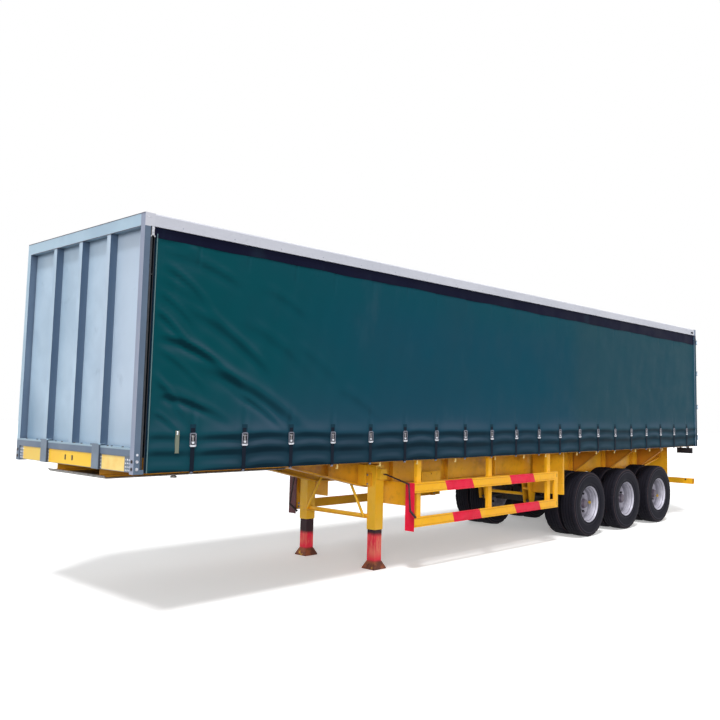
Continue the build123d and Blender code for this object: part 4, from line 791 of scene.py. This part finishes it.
# Slabs of a strap and of a buckle: middle and half width in X, Y, Z, finish, and 1 where they lean
STRAP_SLABS = (
    (0, 0.0225, 1.2325, 1.2352, 1.400, 1.640, "strap", 1), (0, 0.0225, 1.2300, 1.2326, 1.755, 1.800, "strap", 1),
    (0, 0.0225, 1.2290, 1.2318, 1.380, 1.402, "strap", 1), (0, 0.034, 1.2296, 1.2312, 1.765, 1.835, "patch", 0),
)
FRAME_SLABS = (
    (-0.031, 0.0045, 1.2325, 1.2425, 1.636, 1.748, "buckle", 0),
    (0.031, 0.0045, 1.2325, 1.2425, 1.636, 1.748, "buckle", 0),
    # The slab of shadow_black behind each frame is a painted shadow in its opening.
    (0, 0.028, 1.2330, 1.2420, 1.742, 1.754, "buckle", 0), (0, 0.029, 1.2328, 1.2350, 1.640, 1.744, "hole", 0),
    (0, 0.014, 1.2350, 1.2425, 1.650, 1.672, "bright", 0), (0, 0.009, 1.2350, 1.2395, 1.676, 1.726, "nut", 0),
    (0, 0.017, 1.2350, 1.2385, 1.716, 1.730, "nut", 0), (0, 0.030, 1.2335, 1.2430, 1.621, 1.640, "bright", 0),
    (0, 0.013, 1.2270, 1.2345, 1.368, 1.386, "buckle", 1), (0, 0.011, 1.2160, 1.2275, 1.368, 1.376, "buckle", 1),
)


def fit_buckles(side):
    """The straps and over-centre buckles along one curtain's hem, with their hooks."""
    name = "left" if side > 0 else "right"
    straps, frames = Form(), Form()
    for index in range(BUCKLE_COUNT):
        x = BUCKLE_FRONT_X - index * BUCKLE_PITCH
        tilt = 0.004 * math.sin(index * 2.3)
        for form, slabs in ((straps, STRAP_SLABS), (frames, FRAME_SLABS)):
            for middle, half, y0, y1, z0, z1, key, leans in slabs:
                centre = x + middle + tilt * leans
                form.slab(side, centre - half, centre + half, y0, y1, z0, z1, key)
        frames.lathe((x - 0.036, side * 1.2385, 1.634), (1, 0, 0), [(0, 0.0065), (0.072, 0.0065)], "bright", 12)
    webbing = straps.piece("buckle_straps_" + name, bevel=0.0006)
    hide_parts("buckles_" + name)
    irons = frames.piece("buckle_frames_" + name, bevel=0.0012)
    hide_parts("buckles_" + name)


TREAD_STEPS = 132
# Every how many steps a ring of the tread is cut, and how deep, by its part: 1 shoulder, 2 rib
TREAD_CUTS = {1: (6, -0.0085), 2: (3, -0.003)}


def tyre_profile():
    """One tyre's section from bead to bead as (across, radius, part)."""
    half = [
        (0.108, 0.2885, 0), (0.119, 0.293, 0), (0.124, 0.306, 0), (0.122, 0.316, 0), (0.127, 0.330, 0),
        (0.1335, 0.356, 0), (0.1365, 0.362, 0), (0.1365, 0.368, 0), (0.1385, 0.392, 0), (0.1395, 0.416, 0),
        (0.1388, 0.436, 0), (0.1362, 0.456, 0), (0.1372, 0.459, 0), (0.1345, 0.478, 0), (0.1318, 0.492, 0),
        (0.1275, 0.505, 1), (0.1205, 0.5165, 1), (0.1120, 0.5215, 1), (0.0800, 0.5235, 1), (0.0785, 0.5120, 0),
        (0.0690, 0.5120, 0), (0.0675, 0.5243, 2), (0.0330, 0.5250, 2), (0.0315, 0.5130, 0), (0.0235, 0.5130, 0),
        (0.0220, 0.5250, 2),
    ]
    return half + [(-across, radius, part) for across, radius, part in reversed(half)]


def fit_tyres():
    """Both tyres of each end of each axle, with their grooves and shoulder blocks."""
    section = tyre_profile()
    outline = [(across, radius) for across, radius, _ in section]

    def cut(ring, step):
        every, depth = TREAD_CUTS.get(section[ring][2], (1, 0))
        return 0 if step % every else depth

    for number, x in enumerate(AXLE_XS, 1):
        for side, word in SIDES:
            form = Form()
            for y, turn in ((OUTER_TYRE_Y, 0.0), (INNER_TYRE_Y, 0.021)):
                middle = (x, side * y, AXLE_Z)
                form.lathe(middle, (0, 1, 0), outline, "tyre", TREAD_STEPS, turn + number, cut, open_ends=True)
            tyre = form.piece(f"tyre_tread_{number}_{word}", f"wheels_{number}_{word}", smooth=28)
            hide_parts(f"tyres_{number}_{word}")


DISC_STEPS, HOLE_STEPS = 96, 12
HOLE_TURNS = {1: -7.5, 2: 15.0, 3: 3.0}
DISC_FACE = 0.1475
NUT_COUNT, NUT_CIRCLE = 10, 0.1475
HUB_BOLT_COUNT, HUB_BOLT_CIRCLE = 8, 0.083
# Profiles as (along, radius) from the disc's face outwards
HUB_PROFILE = [
    (0, 0.122), (0.012, 0.122), (0.016, 0.112), (0.085, 0.098), (0.100, 0.098), (0.104, 0.088), (0.150, 0.082),
]
CAP_PROFILE = [(0, 0.080), (0.010, 0.080), (0.020, 0.072), (0.045, 0.068), (0.052, 0.055)]


def fit_rims():
    """Deep-dish rims in pairs, with pierced discs, wheel nuts, hubs and a valve on each outer one."""
    barrel = [
        (0.1165, 0.2990), (0.1180, 0.2935), (0.1130, 0.2870), (0.1000, 0.2790), (0.0850, 0.2750), (0.0780, 0.2640),
        (0.0600, 0.2560), (0.0200, 0.2540), (0.0120, 0.2455), (-0.0600, 0.2430), (-0.1000, 0.2425), (-0.1180, 0.2990),
        (-0.1060, 0.2930), (-0.0950, 0.2520), (0.0550, 0.2640), (0.0700, 0.2720), (0.0800, 0.2840), (0.1050, 0.2860),
        (0.1090, 0.2980), (0.1165, 0.2990),
    ]
    disc = [
        (-0.044, 0.2440), (-0.049, 0.2350), (-0.062, 0.2220), (-0.0735, 0.2120), (-0.089, 0.1980), (-0.100, 0.1880),
        (-0.125, 0.1740), (-0.1475, 0.1680), (-0.1475, 0.1180),
    ]

    def pierced(ring, step):
        return ring == 3 and step % HOLE_STEPS < 4 or ring in (2, 4) and step % HOLE_STEPS in (1, 2)

    def pierced_back(ring, step):
        return pierced(len(disc) - 2 - ring, step)

    for number, x in enumerate(AXLE_XS, 1):
        for side, word in SIDES:
            form = Form()
            turn = math.radians(HOLE_TURNS[number])
            for y, sign in ((OUTER_TYRE_Y, 1), (INNER_TYRE_Y, -1)):
                out = (0, side * sign, 0)
                middle = (x, side * y, AXLE_Z)
                form.lathe(middle, out, barrel, "wheel", 64, open_ends=True)
                form.lathe(middle, out, disc, "wheel", DISC_STEPS, turn, open_ends=True, skip=pierced)
                back = [(along - 0.009, radius) for along, radius in reversed(disc)]
                form.lathe(middle, out, back, "wheel", DISC_STEPS, turn, open_ends=True, skip=pierced_back)
            out = (0, side, 0)
            face_y = OUTER_TYRE_Y - DISC_FACE
            form.lathe((x, side * (DUAL_Y - 0.03), AXLE_Z), out, [(0, 0.232), (0.02, 0.232)], "dark", 48)
            form.lathe((x, side * face_y, AXLE_Z), out, HUB_PROFILE, "hubcap", 40)
            form.lathe((x, side * (face_y + 0.150), AXLE_Z), out, CAP_PROFILE, "cap", 32)
            for index in range(NUT_COUNT):
                angle = math.tau * index / NUT_COUNT + turn + 0.3
                where = (x + NUT_CIRCLE * math.cos(angle), side * face_y, AXLE_Z + NUT_CIRCLE * math.sin(angle))
                form.lathe(where, out, [(0, 0.025), (0.006, 0.024)], "dark", 16)
                form.lathe(where, out, [(0.006, 0.019), (0.030, 0.019), (0.034, 0.015)], "nut", 6, angle)
                form.lathe(where, out, [(0.034, 0.011), (0.052, 0.011)], "nut", 10)
            for index in range(HUB_BOLT_COUNT):
                angle = math.tau * index / HUB_BOLT_COUNT + 0.2
                along, up = HUB_BOLT_CIRCLE * math.cos(angle), HUB_BOLT_CIRCLE * math.sin(angle)
                place = (x + along, side * (face_y + 0.104), AXLE_Z + up)
                form.lathe(place, out, [(0, 0.009), (0.008, 0.009)], "nut", 6)
            stem = (x + 0.190, side * (OUTER_TYRE_Y - 0.135), AXLE_Z + 0.08)
            form.lathe(stem, out, [(0, 0.009), (0.09, 0.008), (0.092, 0.011), (0.110, 0.011)], "bright", 12)
            if number != 2:
                angle = math.pi + (0.25 if number == 3 else 0.0)
                ahead = Vector((math.cos(angle), 0, math.sin(angle)))
                spot = Vector((x, side * 1.062, AXLE_Z)) + ahead * 0.2445
                form.lathe(spot, -ahead, [(0, 0.027), (0.005, 0.026), (0.008, 0.020)], "brass", 20)
            rims = form.piece(f"rims_{number}_{word}", f"wheels_{number}_{word}", smooth=32)
            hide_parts(f"wheel_{number}_{word}")


def fit_nose():
    """Lugs over the foot rail, bolts and rivets of the headboard and its posts."""
    lugs = Form()
    for low, high in ((-0.625, -0.485), (0.485, 0.625)):
        top = [(high, 1.628), (high - 0.014, 1.640), (low + 0.014, 1.640), (low, 1.628)]
        lugs.prism(6.3405, 6.364, [(low, 1.398), (high, 1.398), *top], "lug")
        lugs.box((6.298, low + 0.004, 1.6205), (6.352, high - 0.004, 1.637), "lug")
    plates = lugs.piece("nose_lugs", bevel=0.005)
    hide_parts("front_brackets")
    fixings = Form()
    ahead, up = (1, 0, 0), (0, 0, 1)
    for edge in (-0.636, -0.474, 0.474, 0.636):
        for z in (1.420, 1.452, 1.484, 1.516):
            fixings.rivet((6.3402, edge, z), ahead, 0.0065, 0.005, "bright")
    for side in (1, -1):
        out = (0, side, 0)
        for y in (1.092, 1.124, 1.156):
            for z in (1.418, 1.448, 1.480, 1.512):
                fixings.rivet((6.3402, side * y, z), ahead, 0.0075, 0.004, "bright")
        for z in (1.432, 1.500):
            fixings.bolt((6.350, side * 1.214, z), ahead, 0.011, 0.009, "dark")
            fixings.bolt((6.318, side * 1.250, z), out, 0.010, 0.008, "bright")
        fixings.bolt((6.318, side * 1.250, 1.560), out, 0.008, 0.006, "bright")
        for x in (6.300, 6.318, 6.336):
            fixings.rivet((x, side * 1.2502, 3.742), out, 0.005, 0.003, "bright")
    for y in (-1.06, -0.80, -0.70, -0.36, -0.22, 0.05, 0.20, 0.40, 0.72, 0.80, 1.00):
        fixings.bolt((6.326, y, 1.620), up, 0.008, 0.007, "dark")
    fixings.box((6.344, -1.245, 3.7745), (6.3525, 1.245, 3.7800), "trim")
    # A thin dark strip of painted shadow under the top rail.
    fixings.box((6.346, -1.17, 3.655), (6.3505, 1.17, 3.6605), "trim")
    heads = fixings.piece("nose_fixings")


def fit_curtain_irons():
    """The piping, pull strips and latches of both curtains, and the marker lamps at the rear."""
    form = Form()
    for side in (1, -1):
        out = (0, side, 0)
        form.slab(side, 6.206, 6.213, 1.2255, 1.2375, 1.392, 3.60, "piping")
        # A dark strip of painted shade, filling the gap before the corner post.
        form.slab(side, CURTAIN_FRONT_X, CURTAIN_FRONT_X + 0.004, 1.2255, 1.2375, 1.392, 3.60, "pole")
        form.slab(side, 5.888, 5.928, 1.2300, 1.2410, 1.565, 1.775, "olive")
        for z in (1.763, 1.745):
            form.rivet((5.908, side * 1.2410, z), out, 0.010, 0.005, "bright")
        form.slab(side, 6.249, 6.276, 1.2340, 1.2460, 3.560, 3.668, "bright")
        form.slab(side, 6.240, 6.284, 1.2340, 1.2460, 3.560, 3.574, "bright")
        form.lathe((6.2625, side * 1.240, 3.640), out, [(0, 0.016), (0.009, 0.014)], "bright", 16)
        form.slab(side, -6.279, -6.272, 1.2515, 1.2535, 1.385, 3.60, "dark")
        for x in (-6.060, -6.090, -6.120):
            form.lathe((x, side * 1.2400, 3.705), out, [(0, 0.030), (0.006, 0.030), (0.010, 0.022)], "dark", 20)
        for index in range(21):
            form.rivet((5.95 - index * 0.6, side * 1.2490, 3.690), out, 0.006, 0.002, "post")
    irons = form.piece("curtain_irons")


ROPE_HOOK_XS = (3.805, 3.106, 2.427, 1.652, 0.752, 0.024, -0.574, -1.516, -2.155, -2.795, -3.596, -4.177, -4.708)


def fit_chassis_irons():
    """Rope hooks under the side rails, leg brackets, bolts of the legs, guards, springs and bumper."""
    form = Form()
    ahead, up = (1, 0, 0), (0, 0, 1)
    for side in (1, -1):
        for x in ROPE_HOOK_XS:
            form.slab(side, x - 0.030, x + 0.030, 1.178, 1.206, 1.388, 1.396, "cream")
            form.slab(side, x - 0.008, x + 0.008, 1.196, 1.206, 1.345, 1.390, "cream")
            form.slab(side, x - 0.008, x + 0.016, 1.190, 1.208, 1.335, 1.347, "cream")
        form.slab(side, 2.655, 2.700, 0.462, 0.650, 1.035, 1.200, "chassis")
        form.slab(side, 2.500, 2.700, 0.462, 0.574, 1.185, 1.200, "chassis")
        for y in (0.490, 0.545, 0.600):
            for z in (1.060, 1.175):
                form.bolt((2.700, side * y, z), ahead, 0.010, 0.008, "nut")
        for x in (2.351, 0.824, -0.709):
            for z in (0.590, 0.635, 1.020, 1.065):
                form.bolt((x, side * 1.1195, z), (0, -side, 0), 0.011, 0.008, "nut")
        for z in (0.612, 1.042):
            form.slab(side, -0.905, -0.897, 1.1995, 1.2012, z - 0.028, z + 0.028, "dark")
        for axle in AXLE_XS:
            for x in (axle - 0.075, axle + 0.075):
                for y in (0.408, 0.492):
                    form.lathe((x, side * y, 0.450), up, [(0, 0.009), (0.300, 0.009)], "spring", 12)
                    form.lathe((x, side * y, 0.452), up, [(0, 0.016), (0.016, 0.016)], "nut", 6)
        for y in (1.10, 0.98, 0.74):
            for z in (0.650, 0.700):
                form.rivet((-6.2500, side * y, z), (-1, 0, 0), 0.011, 0.006, "nut")
        form.lathe((-6.1500, side * 1.05, 0.708), ahead, [(0, 0.018), (0.008, 0.016)], "dark", 16)
        for low, high, key in ((0.848, 0.945, "clear"), (0.950, 1.047, "amber"), (1.052, 1.152, "lamp")):
            form.slab(side, -6.2795, -6.2765, low, high, 1.245, 1.336, key)
    irons = form.piece("chassis_irons", bevel=0.0008)


def fit_roof_seams():
    """Riveted seams across the roof skin, and a beading along each edge."""
    form = Form()
    for index in range(9):
        x = 5.50 - index * 1.35
        form.box((x - 0.020, -1.165, 3.7755), (x + 0.020, 1.165, 3.7778), "roof")
        for step in range(30):
            form.rivet((x, -1.13 + step * 2.26 / 29, 3.7777), (0, 0, 1), 0.006, 0.0015, "post")
    for side in (1, -1):
        form.slab(side, -6.197, 6.250, 1.150, 1.172, 3.7755, 3.7782, "rail")
    seams = form.piece("roof_seams")


def fit_door_seals():
    """Black rubber along the edges of each door, and two bump stops."""
    for side, word in SIDES:
        form = Form()
        for y0, y1, z0, z1 in ((0.0045, 0.022, 1.425, 3.725), (1.204, 1.2215, 1.425, 3.725),
                               (0.022, 1.204, 1.425, 1.442), (0.022, 1.204, 3.708, 3.725)):
            form.slab(side, -6.3125, -6.3095, y0, y1, z0, z1, "seal")
        for z in (1.75, 3.35):
            stop = [(0, 0.026), (0.014, 0.024), (0.020, 0.016)]
            form.lathe((-6.3095, side * 1.10, z), (-1, 0, 0), stop, "seal", 20)
        seals = form.piece("door_seals_" + word, "door_" + word)


def dress_nodes():
    """Gives every CAD node its finish."""
    for name, node in NODES.items():
        key = NODE_FINISH.get(name, "tyre" if name.startswith("tyres_") else "wheel")
        node.data.materials.clear()
        node.data.materials.append(FINISH[key])


def place_camera():
    """The photograph's camera."""
    flat = math.cos(CAMERA_PITCH)
    ahead = Vector((flat * math.cos(CAMERA_YAW), flat * math.sin(CAMERA_YAW), math.sin(CAMERA_PITCH)))
    right = ahead.cross(Vector((0, 0, 1))).normalized()
    up = right.cross(ahead)
    tilted_right = math.cos(CAMERA_ROLL) * right + math.sin(CAMERA_ROLL) * up
    tilted_up = math.cos(CAMERA_ROLL) * up - math.sin(CAMERA_ROLL) * right
    data = bpy.data.cameras.new("camera")
    data.sensor_width = SENSOR_WIDTH
    data.lens = FOCAL_PIXELS / IMAGE_SIZE * SENSOR_WIDTH
    middle = IMAGE_SIZE / 2
    data.shift_x = (middle - CENTRE_PIXEL[0]) / IMAGE_SIZE
    data.shift_y = (CENTRE_PIXEL[1] - middle) / IMAGE_SIZE
    data.clip_end = FLOOR_SIZE * 2
    camera = bpy.data.objects.new("camera", data)
    turn = Matrix((tilted_right, tilted_up, -ahead)).transposed()
    camera.matrix_world = Matrix.Translation(CAMERA_PLACE) @ turn.to_4x4()
    bpy.context.collection.objects.link(camera)
    bpy.context.scene.camera = camera


def place_lights():
    """A sky that is brighter above, and two lamps; the lens sees plain white."""
    world = bpy.data.worlds.new("sky")
    world.use_nodes = True
    nodes = Nodes(world.node_tree)
    up = nodes.split(nodes.add("ShaderNodeTexCoord").outputs["Generated"])[2]
    levels = []
    for start, end, low, high in ((0.0, 1.0, 0.0, SKY_HIGH - SKY_LEVEL), (-0.35, 0.0, SKY_LOW, SKY_LEVEL)):
        level = nodes.add("ShaderNodeMapRange", Value=up, From_Min=start, From_Max=end, To_Min=low, To_Max=high)
        levels.append(level.outputs[0])
    sky = world.node_tree.nodes["Background"]
    nodes.put(sky.inputs["Color"], (1, 1, 1, 1))
    nodes.put(sky.inputs["Strength"], nodes.math("ADD", *levels))
    white = nodes.add("ShaderNodeBackground", Color=(1, 1, 1, 1))
    choice = nodes.add("ShaderNodeMixShader")
    for socket, value in zip(choice.inputs, (nodes.shown(), sky.outputs[0], white.outputs[0])):
        nodes.put(socket, value)
    nodes.put(world.node_tree.nodes["World Output"].inputs["Surface"], choice.outputs[0])
    bpy.context.scene.world = world
    bpy.context.scene.view_settings.view_transform = "Standard"
    for name, strength, direction, angle in LAMPS:
        lamp = bpy.data.lights.new(name, "SUN")
        lamp.energy = strength
        lamp.angle = angle
        holder = bpy.data.objects.new(name, lamp)
        holder.rotation_euler = direction.to_track_quat("-Z", "Y").to_euler()
        bpy.context.collection.objects.link(holder)


def place_floor():
    """A pale floor that fades into the sky."""
    half = FLOOR_SIZE / 2
    mesh = bpy.data.meshes.new("ground")
    mesh.from_pydata([(-half, -half, 0), (half, -half, 0), (half, half, 0), (-half, half, 0)], [], [(0, 1, 2, 3)])
    ground = bpy.data.objects.new("ground", mesh)
    bpy.context.collection.objects.link(ground)
    paint = Paint("ground", (120, 120, 122), 0.9, specular=0.0)
    shown = paint.shown()
    paint.coat(shown, (252, 252, 252))
    paint.put(paint.shader["Emission Color"], (1, 1, 1, 1))
    paint.put(paint.shader["Emission Strength"], paint.times(shown, FLOOR_GLOW))
    mesh.materials.append(paint.finish())


dress_nodes()
place_camera()
place_lights()
place_floor()
hang_curtain(1, CREASES_LEFT, 4)
hang_curtain(-1, CREASES_RIGHT, 9)
hang_valances()
fit_buckles(1)
fit_buckles(-1)
fit_tyres()
fit_rims()
fit_nose()
fit_curtain_irons()
fit_chassis_irons()
fit_roof_seams()
fit_door_seals()
